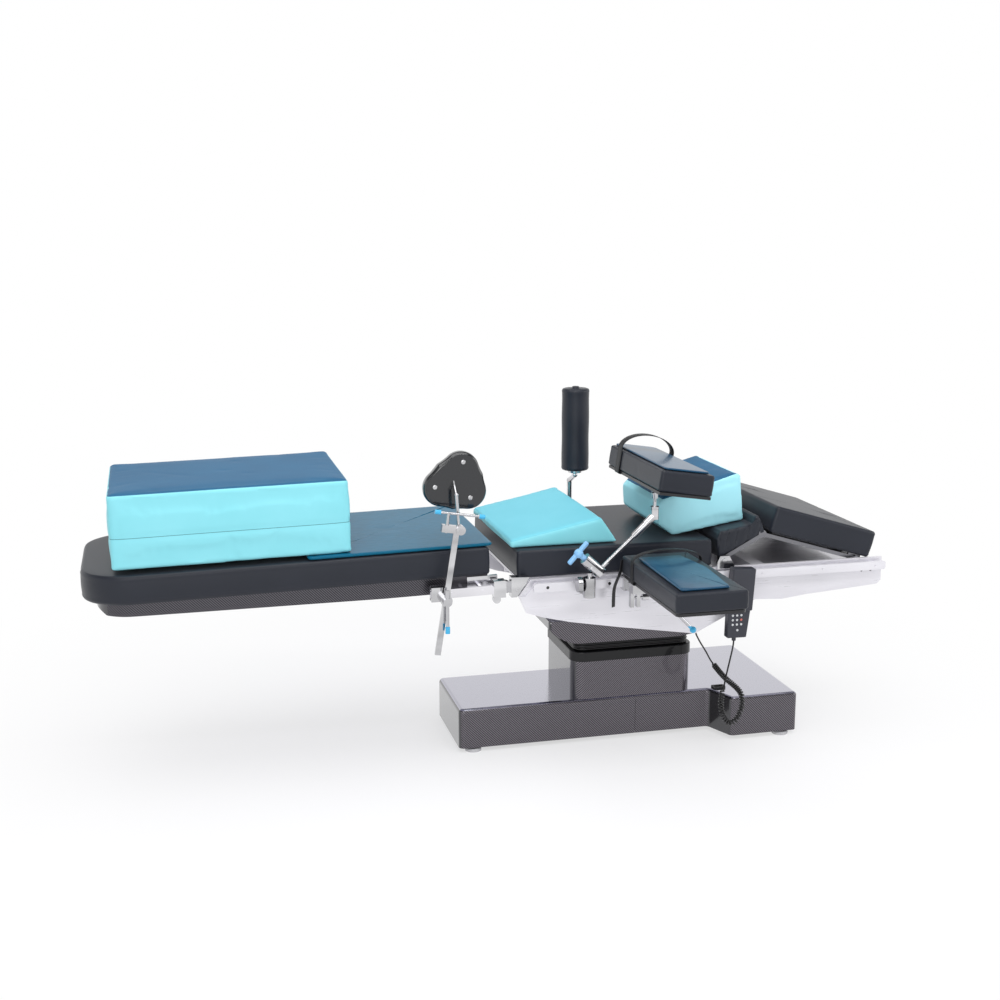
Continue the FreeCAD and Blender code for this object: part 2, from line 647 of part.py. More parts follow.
def frame_crossbars():
    """Cross tubes between the side plates, the beams under them and the head-end deck sheet."""
    top = CROSS_BOTTOM + CROSS_HEIGHT
    bars = []
    for x in (-320, -170, 130, 320):
        tube_end = box(x, x + CROSS_WIDTH, -CHEEK_Y, CHEEK_Y, CROSS_BOTTOM, top)
        bars.append(tube_end)
    deck = box(SEAT_HEAD + 6, RAIL_HEAD - 84, -CHEEK_Y, CHEEK_Y, CROSS_BOTTOM - 2, CROSS_BOTTOM)
    end = box(RAIL_HEAD - 60, RAIL_HEAD - 6, -CHEEK_Y, CHEEK_Y, SOCKET_Z - SOCKET_BLOCK / 2 - 4,
              SOCKET_Z - SOCKET_BLOCK / 2)
    ledges = []
    for s in (-1, 1):
        low, high = sorted((s * 252.0, s * CHEEK_Y))
        ledges.append(box(560, RAIL_HEAD - 8, low, high, LEDGE_TOP - 10, LEDGE_TOP))
    beams = both_sides(beam())
    frame = fused(bars[0], *bars[1:], deck, *beams)
    return [frame, end] + ledges


def bridge_bearings():
    """Bracket outside each side plate that holds the bridge's first pivot."""
    near = -CHEEK_Y - CHEEK_THICK
    outline = [(200, 528), (252, 528), (252, 548), (236, 577), (208, 577), (200, 560)]
    bracket = plate_xz(outline, near - 8, near)
    pin = rod(HINGE_PIN_R, (PIVOT_X, near - 11, PIVOT_Z), (PIVOT_X, -250, PIVOT_Z))
    return both_sides(fused(bracket, pin))


def socket_block():
    """Coupling block with a blind socket that takes a head plate's spigot."""
    half = SOCKET_BLOCK / 2
    head = RAIL_HEAD - 6
    block = box(head - SOCKET_DEPTH - 14, head, -SOCKET_Y - half, -SOCKET_Y + half,
                SOCKET_Z - half, SOCKET_Z + half)
    block = round_edges(block, 4, lambda e: abs(e.Vertexes[0].Point.x - e.Vertexes[-1].Point.x) > 20)
    return block.cut(rod(SOCKET_R, (head - SOCKET_DEPTH, -SOCKET_Y, SOCKET_Z), (head + 1, -SOCKET_Y, SOCKET_Z)))


def knee_block_seat():
    """Seat-side hinge block with its ear and the knee pin, near side."""
    y0 = -KNEE_BLOCK_Y - KNEE_BLOCK_DEPTH
    outline = [(-414, 502), (-398, 502), (-362, 557), (-414, 559)]
    block = plate_xz(outline, y0, -KNEE_BLOCK_Y)
    near = -KNEE_BLOCK_Y
    far = near + 9
    ear = fused(Part.makeCylinder(17, 9, V(KNEE_X, near, KNEE_Z), Y_AXIS),
                box(KNEE_X, -388, near, far, KNEE_Z - 12, KNEE_Z + 12))
    tongue = box(-400, -380, near, -CHEEK_Y, 508, 532)
    pin = rod(KNEE_PIN_R, (KNEE_X, near + 1, KNEE_Z), (KNEE_X, far + 10, KNEE_Z))
    screw = rod(5, (-396, y0 - 1.5, 519), (-396, y0 + 1, 519))
    block = fused(block, ear, tongue, pin, screw).cut(cheek())
    return max(block.Solids, key=lambda solid: solid.Volume)


def make_frame():
    save("cheek_plates", *both_sides(cheek()))
    save("side_rails", *both_sides(main_rail()))
    panel = box(SEAT_FOOT + 3, SEAT_HEAD + 5, -CHEEK_Y + 7, CHEEK_Y - 7, PANEL_BOTTOM, PANEL_BOTTOM + PANEL_THICK)
    save("frame_crossbars", *frame_crossbars(), panel)
    save("bridge_bearings", *bridge_bearings())
    save("head_sockets", *both_sides(socket_block()))
    save("knee_blocks_seat", *both_sides(knee_block_seat()))
    seat_z = PANEL_BOTTOM + PANEL_THICK + REST
    save("seat_mattress", soft_block(SEAT_FOOT, SEAT_HEAD, -PAD_WIDTH / 2, PAD_WIDTH / 2,
                                     seat_z, seat_z + SEAT_THICK))


# Thorax bridge


def seat_top():
    return PANEL_BOTTOM + PANEL_THICK + REST + SEAT_THICK + REST


def cushion_bottom(x):
    """Height of the head cushion's sloping underside."""
    return seat_top() + CUSHION_SLOPE * (x - CUSHION_HEEL)


def ridge_point():
    angle = math.radians(RIDGE_ANGLE)
    return PIVOT_X + BRIDGE_A * math.cos(angle), PIVOT_Z + BRIDGE_A * math.sin(angle)


def panel_b_angle():
    """Slope of the long panel, from the heights of the ridge and of the roller on its ledge."""
    drop = ridge_point()[1] - (LEDGE_TOP + ROLLER_R + 0.8)
    return math.degrees(math.asin(drop / BRIDGE_B))


def raised_a(shape):
    return turned(shape, -RIDGE_ANGLE, (PIVOT_X, 0, PIVOT_Z), Y_AXIS)


def raised_b(shape):
    x, z = ridge_point()
    return turned(shape, panel_b_angle(), (x, 0, z), Y_AXIS)


def bridge_a_frame():
    """Short panel with an eye at each end of its arms and the ridge pins."""
    x1 = PIVOT_X + BRIDGE_A
    out = BRIDGE_ARM_Y
    arms = []
    for s in (-1, 1):
        low, high = sorted((s * (out - ARM_WIDTH), s * out))
        arm = box(PIVOT_X, x1, low, high, PIVOT_Z - 8, PIVOT_Z + 4)
        eyes = [Part.makeCylinder(EYE_R, ARM_WIDTH, V(x, low, PIVOT_Z), Y_AXIS) for x in (PIVOT_X, x1)]
        bore = rod(HINGE_PIN_R + RUN, (PIVOT_X, low - 1, PIVOT_Z), (PIVOT_X, high + 1, PIVOT_Z))
        pin = rod(HINGE_PIN_R, (x1, s * (out - ARM_WIDTH - 12), PIVOT_Z), (x1, s * (out - 1), PIVOT_Z))
        arms.append(fused(arm, *eyes).cut(bore).fuse(pin))
    sheet = box(PIVOT_X + 14, x1 - 14, -out + 4, out - 4, PIVOT_Z - 3, PIVOT_Z + 3)
    return raised_a(fused(sheet, *arms))


def bridge_b_frame():
    """Long panel: eyes on the ridge pins, rollers on the ledges at the far end."""
    x0, z0 = ridge_point()
    x1 = x0 + BRIDGE_B
    out = BRIDGE_ARM_Y - ARM_WIDTH - FIT
    arms = []
    for s in (-1, 1):
        low, high = sorted((s * (out - ARM_WIDTH), s * out))
        arm = box(x0, x1 + 10, low, high, z0 - 7, z0 + 4)
        eye = Part.makeCylinder(EYE_R, ARM_WIDTH, V(x0, low, z0), Y_AXIS)
        bore = rod(HINGE_PIN_R + RUN, (x0, low - 1, z0), (x0, high + 1, z0))
        roller = rod(ROLLER_R, (x1, s * (out - 1), z0), (x1, s * (CHEEK_Y - 0.8), z0))
        shoe = box(x1 - 22, x1 + 18, low, high, z0 - 8, z0 + 10)
        arms.append(fused(arm, eye, shoe).cut(bore).fuse(roller))
    sheet = box(x0 + 16, x1 + 10, -out + 4, out - 4, z0 - 3, z0 + 3)
    return raised_b(fused(sheet, *arms))


def bridge_a_mattress():
    """Creased pad on the short panel; its top follows the head cushion that lies on it."""
    angle = math.radians(RIDGE_ANGLE)

    def local(along, above):
        return (PIVOT_X + along * math.cos(angle) - above * math.sin(angle),
                PIVOT_Z + along * math.sin(angle) + above * math.cos(angle))

    low = 4 + REST
    outline = [local(-14, low), (203, 622), (211, cushion_bottom(211) - 8), (218, cushion_bottom(218) - REST),
               (317, cushion_bottom(317) - REST), (322, 680), (330, 687), (342, 672), local(148, low)]
    pad = plate_xz(outline, -PAD_WIDTH / 2, PAD_WIDTH / 2)
    reliefs = []
    for side in (-1, 1):
        low_y, high_y = sorted((side * (BRIDGE_ARM_Y - 2 * ARM_WIDTH - 3), side * (PAD_WIDTH / 2 + 1)))
        for along in (0, BRIDGE_A):
            x, z = local(along, 0)
            reliefs.append(Part.makeCylinder(EYE_R + 1, high_y - low_y, V(x, low_y, z), Y_AXIS))
    return pad.cut(reliefs)


def bridge_b_mattress():
    x0, z0 = ridge_point()
    pad = soft_block(x0 + 19, x0 + 19 + 334, -PAD_WIDTH / 2, PAD_WIDTH / 2, z0 + 10.3, z0 + 10.3 + 81)
    spacer = box(x0 + 60, x0 + 300, -200, 200, z0 + 3, z0 + 10)
    return raised_b(pad), raised_b(spacer)


def make_bridge():
    save("bridge_a_frame", bridge_a_frame())
    save("bridge_a_mattress", bridge_a_mattress())
    pad, spacer = bridge_b_mattress()
    save("bridge_b_frame", bridge_b_frame().fuse(spacer))
    save("bridge_b_mattress", pad)


# Leg section


def leg_panel():
    """Carbon base plate that thins and turns up towards the foot end."""
    half = LEG_PANEL_WIDTH / 2
    top = LEG_PAD_BOTTOM - REST
    side = plate_xz([(LEG_PANEL_END, top), (LEG_PANEL_END, top - 14), (LEG_PANEL_END + 26, LEG_PANEL_END_BOTTOM),
                     (-1340, LEG_PANEL_END_BOTTOM - 3), (-760, LEG_PANEL_BOTTOM),
                     (LEG_PANEL_HEAD, LEG_PANEL_BOTTOM), (LEG_PANEL_HEAD, top)], -half, half)
    plan = box(LEG_PANEL_END, LEG_PANEL_HEAD, -half, half, LEG_PANEL_BOTTOM - 20, top + 20)
    plan = round_edges(plan, LEG_CORNER - 34, lambda e: upright(e) and e.Vertexes[0].Point.x < -1000)
    return leg_tilted(side.common(plan))


def leg_mattress():
    half = PAD_WIDTH / 2
    pad = box(LEG_END, LEG_HEAD, -half, half, LEG_PAD_BOTTOM, LEG_PAD_BOTTOM + LEG_PAD_THICK)
    pad = round_edges(pad, LEG_CORNER, lambda e: upright(e) and e.Vertexes[0].Point.x < LEG_END + 5)
    pad = round_edges(pad, PAD_EDGE, lambda e: not upright(e))
    return leg_tilted(pad)


def leg_rail():
    bottom = 516.0
    stations = (-625, -545, -492)
    rail = side_rail(LEG_RAIL_FOOT, LEG_RAIL_HEAD, bottom)
    screws = [rod(4.5, (x, -RAIL_Y - RAIL_THICK - 1, bottom + 12), (x, -RAIL_Y - RAIL_THICK + 1, bottom + 12))
              for x in (-580, -492)]
    spacers = rail_spacers(stations[:2], bottom, LEG_PANEL_WIDTH / 2)
    spacers += rail_spacers(stations[2:], bottom, LEG_PANEL_WIDTH / 2 + 10)
    return leg_tilted(fused(rail, *spacers, *screws))


def knee_block_leg():
    """Leg-side hinge block: face block, inner ear on the knee pin and arm along the panel."""
    y0 = -KNEE_BLOCK_Y - KNEE_BLOCK_DEPTH
    face = box(LEG_RAIL_HEAD, -430, y0, -KNEE_BLOCK_Y, 504, 552)
    near = -KNEE_BLOCK_Y + 9 + FIT
    far = near + 9
    ear = fused(Part.makeCylinder(17, far - near, V(KNEE_X, near, KNEE_Z), Y_AXIS),
                box(-463, KNEE_X, near, far, KNEE_Z - 10, KNEE_Z + 14))
    ear = ear.cut(rod(KNEE_PIN_R + RUN, (KNEE_X, near - 1, KNEE_Z), (KNEE_X, far + 1, KNEE_Z)))
    link = box(LEG_RAIL_HEAD, -444, -KNEE_BLOCK_Y - 1, far, KNEE_Z - 10, 548)
    arm = box(-530, -444, -LEG_PANEL_WIDTH / 2 - 10, -LEG_PANEL_WIDTH / 2, 528, 560)
    bolt = rod(11, (-455, y0 + 2, 499), (-455, y0 + 16, 499))
    bolt_neck = rod(5, (-455, y0 + 9, 499), (-455, y0 + 9, 506))
    return leg_tilted(fused(face, link, ear, arm, bolt, bolt_neck))


def make_leg():
    save("leg_panel", leg_panel())
    save("leg_mattress", leg_mattress())
    save("leg_rails", *both_sides(leg_rail()))
    save("knee_blocks_leg", *both_sides(knee_block_leg()))


# Cushions


def leg_local_top():
    return LEG_PAD_BOTTOM + LEG_PAD_THICK + REST


def leg_cushion():
    z = leg_local_top() + GEL_THICK + REST
    block = soft_block(CUSHION_FOOT, CUSHION_FOOT + CUSHION_LENGTH, CUSHION_Y, CUSHION_Y + CUSHION_DEPTH,
                       z, z + CUSHION_HEIGHT, 6)
    return leg_tilted(block)


def gel_mat():
    z = leg_local_top()
    return leg_tilted(soft_block(GEL_FOOT, GEL_HEAD, -PAD_WIDTH / 2 + 4, PAD_WIDTH / 2 - 4, z, z + GEL_THICK, 3))


def wedge_cushion():
    z = seat_top()
    outline = [(-404, z), (-81, z), (-133, z + 78), (-404, z + 22)]
    return plate_xz(outline, WEDGE_Y, WEDGE_Y + WEDGE_DEPTH)


def head_cushion():
    z = seat_top()
    outline = [(CUSHION_HEEL, z), (316, cushion_bottom(316)), (302, 796), (292, 804), (222, 787), (62, 742), (44, 722), (46, z + 34)]
    return plate_xz(outline, HEAD_CUSHION_Y, HEAD_CUSHION_Y + HEAD_CUSHION_DEPTH)


def make_cushions():
    save("leg_cushion", leg_cushion())
    save("gel_mat", gel_mat())
    save("wedge_cushion", wedge_cushion())
    save("head_cushion", head_cushion())


# Pelvic support on the leg section's rail


def leaned(shape):
    return turned(shape, POST_LEAN, (POST_X, 0, POST_Z), Y_AXIS)


def pelvic_clamp():
    """Jaw round the leg rail and a hub slotted for the flat post."""
    rail_low = 513.0
    outer = -RAIL_Y - RAIL_THICK
    jaw = box(-640, -586, outer - 8, -RAIL_Y + 10, rail_low - 7, rail_low + RAIL_HEIGHT + 8)
    jaw = jaw.cut(box(-641, -585, outer - FIT, -RAIL_Y + FIT, rail_low - 3, rail_low + RAIL_HEIGHT + 4))
    jaw = jaw.cut(box(-641, -585, -RAIL_Y - 1, -RAIL_Y + 11, rail_low + 3, rail_low + RAIL_HEIGHT - 3))
    hub = rod(HUB_R, (POST_X, POST_Y - 13, POST_Z), (POST_X, outer - 8, POST_Z))
    slot = leaned(box(POST_X - POST_BAR / 2 - FIT, POST_X + POST_BAR / 2 + FIT, POST_Y - POST_BAR_THICK / 2 - FIT,
                      POST_Y + POST_BAR_THICK / 2 + FIT, POST_Z - 40, POST_Z + 40))
    return fused(jaw, hub).cut(slot)


def pelvic_post():
    """Flat post with the clamp head on its upper end."""
    half = POST_BAR / 2
    bar = box(POST_X - half, POST_X + half, POST_Y - POST_BAR_THICK / 2, POST_Y + POST_BAR_THICK / 2,
              POST_Z - POST_BELOW, POST_Z + POST_ABOVE)
    top = POST_Z + POST_ABOVE
    head = box(POST_X - 42, POST_X + 4, POST_Y - 9, POST_Y + 9, top - 2, top + 18)
    socket = rod(13, (POST_X + 10, POST_Y - 12, top + 8), (POST_X + 10, POST_Y + 12, top + 8))
    body = fused(bar, head, socket)
    body = body.cut(rod(6 + RUN, (POST_X + 10, POST_Y - 13, top + 8), (POST_X + 10, POST_Y + 13, top + 8)))
    body = body.cut(rod(5 + RUN, (POST_X - 28, POST_Y, top - 3), (POST_X - 28, POST_Y, top + 19)))
    return leaned(body)


def pelvic_screw():
    """Clamping screw with its cross bar and end caps."""
    top = POST_Z + POST_ABOVE
    x = POST_X - 28
    stem = rod(5, (x, POST_Y, top - 4), (x, POST_Y, top + 52))
    bar = rod(3.5, (x - 24, POST_Y, top + 50), (x + 86, POST_Y, top + 50))
    caps = [rod(6, (x - 38, POST_Y, top + 50), (x - 22, POST_Y, top + 50)),
            rod(6, (x + 84, POST_Y, top + 50), (x + 100, POST_Y, top + 50))]
    return leaned(fused(stem, bar, *caps))


def pelvic_lever():
    """Clamp lever on the hub's front: a boss, a hanging handle with a cap and a short stub."""
    face = POST_Y - 13 - FIT
    boss = rod(12, (POST_X, face - 15, POST_Z), (POST_X, face, POST_Z))
    y = face - 7.5
    arm = rod(4.5, (POST_X, y, POST_Z), (POST_X, y, POST_Z - 72))
    cap = rod(6.5, (POST_X, y, POST_Z - 70), (POST_X, y, POST_Z - 88))
    stub = rod(6, (POST_X, y, POST_Z), (POST_X, y, POST_Z + 32))
    return fused(boss, arm, cap, stub)


def socket_centre():
    top = POST_Z + POST_ABOVE + 8
    point = V(POST_X + 10, POST_Y, top)
    angle = math.radians(POST_LEAN)
    dx, dz = point.x - POST_X, point.z - POST_Z
    return (POST_X + dx * math.cos(angle) + dz * math.sin(angle),
            POST_Z - dx * math.sin(angle) + dz * math.cos(angle))


def pelvic_pad_outline(grow, y0, y1):
    """Rounded triangle: three corner circles joined by their tangents."""
    centres = [(-596, 806), (-540, 856), (-520, 795)]
    corner = PELVIC_CORNER + grow
    pieces = [Part.makeCylinder(corner, y1 - y0, V(x, y0, z), Y_AXIS) for x, z in centres]
    for (xa, za), (xb, zb) in zip(centres, centres[1:] + centres[:1]):
        length = math.hypot(xb - xa, zb - za)
        nx, nz = (zb - za) / length * corner, -(xb - xa) / length * corner
        pieces.append(plate_xz([(xa + nx, za + nz), (xb + nx, zb + nz), (xb - nx, zb - nz), (xa - nx, za - nz)],
                               y0, y1))
    pieces.append(plate_xz(centres, y0, y1))
    return fused(pieces[0], *pieces[1:])


def pelvic_arm():
    """Bent rod from the clamp socket to the pad's back plate."""
    x, z = socket_centre()
    plate_y = -252.0
    spigot = rod(6, (x, POST_Y - 12, z), (x, POST_Y + 20, z))
    rise = rod(PELVIC_ROD_R, (x, POST_Y + 18, z), (x - 4, POST_Y + 26, z + 92))
    run = rod(PELVIC_ROD_R, (x - 4, POST_Y + 26, z + 90), (x - 2, plate_y + 1, z + 118))
    bend = Part.makeSphere(PELVIC_ROD_R + 1, V(x - 4, POST_Y + 26, z + 91))
    knuckle = Part.makeSphere(8, V(x, POST_Y + 20, z))
    plate = pelvic_pad_outline(-6, plate_y, plate_y + 4)
    return fused(spigot, knuckle, rise, bend, run, plate)


def pelvic_pad():
    pad = pelvic_pad_outline(0, -248.0 + REST, -248.0 + PELVIC_PAD_THICK)
    return pad


def make_pelvic_support():
    save("pelvic_clamp", pelvic_clamp())
    save("pelvic_post", pelvic_post())
    save("pelvic_screw", pelvic_screw())
    save("pelvic_lever", pelvic_lever())
    save("pelvic_arm", pelvic_arm())
    save("pelvic_pad", pelvic_pad())


# Upper arm support on the main rail


def rail_jaw(x0, x1):
    """A block that hooks over the near main rail with running clearance."""
    outer = -RAIL_Y - RAIL_THICK
    top = RAIL_BOTTOM + RAIL_HEIGHT
    jaw = box(x0, x1, outer - 12, -RAIL_Y + 8, RAIL_BOTTOM - 8, top + 6)
    return jaw.cut([box(x0 - 1, x1 + 1, outer - FIT, -RAIL_Y + FIT, RAIL_BOTTOM - FIT, top + FIT),
                    box(x0 - 1, x1 + 1, -RAIL_Y - 1, -RAIL_Y + 9, RAIL_BOTTOM + 3, top - 3)])


def arm_clamp():
    """Rail clamp with an upright socket and a round clamping knob beside it."""
    x = ARM_POST_X
    jaw = rail_jaw(x - 18, x + 18)
    socket = Part.makeCylinder(17, 56, V(x, ARM_Y, 500))
    neck = box(x - 14, x + 14, ARM_Y, -RAIL_Y - RAIL_THICK - 11, 503, 542)
    knob = rod(21, (x - 34, ARM_Y + 6, 536), (x - 22, ARM_Y + 6, 536))
    spindle = rod(6, (x - 24, ARM_Y + 6, 536), (x, ARM_Y + 6, 536))
    return fused(jaw, socket, neck, knob, spindle).cut(
        Part.makeCylinder(7 + RUN, 60, V(x, ARM_Y, 512)))


def barrel_axis():
    angle = math.radians(BARREL_TILT)
    return V(math.cos(angle), 0, -math.sin(angle))


def barrel_point(along, across=0.0):
    """A point on the barrel's axis, or off it towards the rod's side."""
    d = barrel_axis()
    return V(BARREL_X, ARM_Y, BARREL_Z) + d * along + V(-d.z, 0, d.x) * across


def arm_head():
    """Post and the slotted lower half of the clamp barrel."""
    low = BARREL_LENGTH * 0.5
    post = rod(7, (ARM_POST_X, ARM_Y, 512 + FIT), (ARM_POST_X, ARM_Y, BARREL_Z - 20))
    half = Part.makeCylinder(BARREL_R, low + BARREL_SPLIT - FIT, barrel_point(-low), barrel_axis())
    slot = Part.makeBox(7, 12, 26, V(0, -BARREL_R - 6, 0))
    slot.Placement = FreeCAD.Placement(barrel_point(-low + 4, -3.5), FreeCAD.Rotation(Z_AXIS, barrel_axis()))
    centre = rod(6, tuple(barrel_point(-10)), tuple(barrel_point(low + 4)))
    return fused(half.cut(slot), post, centre)


def arm_handle():
    """T-shaped tightening handle on the barrel's axis."""
    low = BARREL_LENGTH * 0.5
    base = -low - FIT
    stem = Part.makeCylinder(8, 26, barrel_point(base - 26), barrel_axis())
    ends = [barrel_point(base - 24, s * 40) for s in (-1, 1)]
    bar = Part.makeCylinder(7, 80, ends[0], ends[1] - ends[0])
    bar = round_edges(bar, 5, lambda e: True)
    hub = Part.makeSphere(13, barrel_point(base - 22))
    return fused(stem, bar, hub)


def arm_rod():
    """Upper half of the barrel, the straight rod and the black elbow joint at its top."""
    low = BARREL_LENGTH * 0.5
    drum = Part.makeCylinder(BARREL_R, low - BARREL_SPLIT, barrel_point(BARREL_SPLIT), barrel_axis())
    drum = drum.cut(Part.makeCylinder(6 + RUN, low + 6, barrel_point(-1), barrel_axis()))
    start = barrel_point((low + BARREL_SPLIT) / 2, 13)
    end = V(JOINT_X - 22, ARM_Y, JOINT_Z - 22)
    bar = Part.makeCylinder(ARM_ROD_R, (end - start).Length, start, end - start)
    sleeve_start = end - (end - start) * (26 / (end - start).Length)
    sleeve = Part.makeCylinder(10, 58, sleeve_start, end - start)
    elbow = rod(11, (JOINT_X - 6, ARM_Y, JOINT_Z - 6), (BOARD_STEM_X, ARM_Y, JOINT_Z + 17))
    seat = Part.makeCylinder(12, 28, V(BOARD_STEM_X, ARM_Y, JOINT_Z + 6))
    bore = Part.makeCylinder(5 + RUN, 40, V(BOARD_STEM_X, ARM_Y, JOINT_Z + 8))
    return fused(drum, bar, sleeve, elbow, seat).cut(bore)


def rolled(shape):
    return turned(shape, UPPER_ROLL, (BOARD_STEM_X, 0, UPPER_PLATE_Z), Y_AXIS)


def upper_plan(inset=0.0):
    cut = UPPER_CORNER
    left = BOARD_STEM_X - 24 + inset
    right = left + UPPER_WIDTH - 2 * inset
    near = ARM_Y - 92 + inset
    far = near + UPPER_LENGTH - 2 * inset
    return [(left, near), (right, near), (right, far - cut), (right - cut, far), (left + cut, far),
            (left, far - cut)]


def upper_board():
    """Board plate, its stem with the pivot and the small locking handle beside it."""
    plate = rolled(plate_xy(upper_plan(3), UPPER_PLATE_Z, UPPER_PLATE_Z + BOARD_PLATE))
    stem = rod(5, (BOARD_STEM_X, ARM_Y, JOINT_Z + 9), (BOARD_STEM_X, ARM_Y, UPPER_PLATE_Z + 2))
    boss = rod(9, (BOARD_STEM_X, ARM_Y, UPPER_PLATE_Z - 24), (BOARD_STEM_X, ARM_Y, UPPER_PLATE_Z + 1))
    collar = rod(12, (BOARD_STEM_X, ARM_Y, JOINT_Z + 34 + FIT), (BOARD_STEM_X, ARM_Y, JOINT_Z + 42))
    lever = rod(5, (BOARD_STEM_X - 4, ARM_Y - 12, UPPER_PLATE_Z - 30), (BOARD_STEM_X - 10, ARM_Y - 16, UPPER_PLATE_Z - 4))
    link = rod(4, (BOARD_STEM_X, ARM_Y, UPPER_PLATE_Z - 22), (BOARD_STEM_X - 6, ARM_Y - 13, UPPER_PLATE_Z - 22))
    return fused(plate, stem, boss, collar, lever, link)


def upper_pad():
    """Arm board cushion and the thin gel pad on it."""
    z = UPPER_PLATE_Z + BOARD_PLATE + REST
    pad = plate_xy(upper_plan(), z, z + UPPER_PAD_THICK)
    pad = round_edges(pad, 6, lambda e: True)
    top = z + UPPER_PAD_THICK + REST
    gel = plate_xy(upper_plan(12), top, top + GEL_PAD_THICK - 2)
    return [rolled(pad), rolled(gel)]


def make_upper_arm_support():
    save("arm_clamp", arm_clamp())
    save("arm_head", arm_head())
    save("arm_handle", arm_handle())
    save("arm_rod", arm_rod())
    save("upper_board", upper_board())
    save("upper_pad", *upper_pad())


# Lower arm board


def board_clamp():
    """Rail clamp with the swivel post that the arm board turns on."""
    jaw = rail_jaw(SWIVEL_X - 24, SWIVEL_X + 24)
    body = box(SWIVEL_X - 16, SWIVEL_X + 16, SWIVEL_Y - 14, -RAIL_Y - RAIL_THICK - 11, 506, 538)
    post = Part.makeCylinder(SWIVEL_R, BOARD_BOTTOM - 536 + BOARD_PLATE, V(SWIVEL_X, SWIVEL_Y, 536))
    jaws = [box(x, x + 10, SWIVEL_Y + 8, SWIVEL_Y + 24, 462, 508) for x in (SWIVEL_X - 14, SWIVEL_X + 4)]
    knob = rod(9, (SWIVEL_X + 22, SWIVEL_Y + 16, 488), (SWIVEL_X + 40, SWIVEL_Y + 16, 488))
    spindle = rod(4, (SWIVEL_X - 12, SWIVEL_Y + 16, 488), (SWIVEL_X + 24, SWIVEL_Y + 16, 488))
    return fused(jaw, body, post, knob, spindle, *jaws)


def board_plan(inset=0.0):
    left, right = BOARD_LEFT + inset, BOARD_LEFT + BOARD_WIDTH - inset
    near, far = BOARD_NEAR + inset, BOARD_FAR - inset
    return [(left, near), (right, near), (right, far), (left, far)]


def lower_board():
    """Board plate with the swivel bush under it."""
    plate = plate_xy(board_plan(4), BOARD_BOTTOM, BOARD_BOTTOM + BOARD_PLATE)
    plate = round_edges(plate, 14, lambda e: upright(e) and e.Vertexes[0].Point.y < BOARD_NEAR + 30)
    bush_height = BOARD_BOTTOM - 538 - FIT
    bush = Part.makeCylinder(26, bush_height, V(SWIVEL_X, SWIVEL_Y, 538 + FIT))
    bracket = box(-80, -44, -516, -484, BOARD_BOTTOM - 14, BOARD_BOTTOM)
    eye_hole = rod(5 + RUN, (-62, -517, BOARD_BOTTOM - 8), (-62, -483, BOARD_BOTTOM - 8))
    hole = Part.makeCylinder(SWIVEL_R + RUN, 40, V(SWIVEL_X, SWIVEL_Y, 530))
    slot = box(-70, -43, -506, -494, BOARD_BOTTOM - 15, BOARD_BOTTOM - 1)
    return fused(plate, bush, bracket).cut([hole, eye_hole, slot])


def lower_lever():
    """Release lever under the board, with a blue knob."""
    z = BOARD_BOTTOM - 8
    pivot = rod(5, (-62, -516, z), (-62, -484, z))
    arm = rod(4.5, (-62, -500, z), (36, -500, 441))
    knob = Part.makeSphere(9, V(42, -500, 435))
    return fused(pivot, arm, knob)


def lower_pad():
    z = BOARD_BOTTOM + BOARD_PLATE + REST
    pad = plate_xy(board_plan(0), z, z + LOWER_PAD_THICK)
    pad = round_edges(pad, 7, lambda e: True)
    top = z + LOWER_PAD_THICK + REST
    gel = box(BOARD_LEFT + 14, BOARD_LEFT + 150, BOARD_NEAR + 18, BOARD_FAR - 20, top, top + GEL_PAD_THICK)
    return [pad, gel]


def make_lower_arm_board():
    save("board_clamp", board_clamp())
    save("lower_board", lower_board())
    save("lower_lever", lower_lever())
    save("lower_pad", *lower_pad())


# Back support on the far rail


def back_clamp():
    outer = RAIL_Y + RAIL_THICK
    x = BACK_X
    jaw = rail_jaw(x - 25, x + 25).mirror(V(0, 0, 0), Y_AXIS)
    socket = Part.makeCylinder(16, 60, V(x, BACK_POST_Y, 492))
    neck = box(x - 13, x + 13, outer + 8, BACK_POST_Y, 500, 540)
    knob = rod(15, (x, BACK_POST_Y + 24, 524), (x, BACK_POST_Y + 42, 524))
    spindle = rod(5, (x, BACK_POST_Y + 10, 524), (x, BACK_POST_Y + 26, 524))
    return fused(jaw, socket, neck, knob, spindle).cut(
        Part.makeCylinder(BACK_POST_R + RUN, 80, V(x, BACK_POST_Y, 480)))


def back_post():
    """Cranked round post: up from the clamp, inwards over the mattress, then up the roller."""
    x, r = BACK_X, BACK_POST_R
    low = [(x, BACK_POST_Y, 470), (x, BACK_POST_Y, 700)]
    high = [(x, BACK_ROLLER_Y, 728), (x, BACK_ROLLER_Y, BACK_ROLLER_BOTTOM + BACK_ROLLER_LENGTH - 20)]
    pieces = [rod(r, low[0], low[1]), rod(r, low[1], high[0]), rod(r, high[0], high[1])]
    pieces += [Part.makeSphere(r + 1, V(*p)) for p in (low[1], high[0])]
    flange = Part.makeCylinder(22, 8, V(x, BACK_ROLLER_Y, BACK_ROLLER_BOTTOM - 8 - FIT))
    return fused(flange, *pieces)


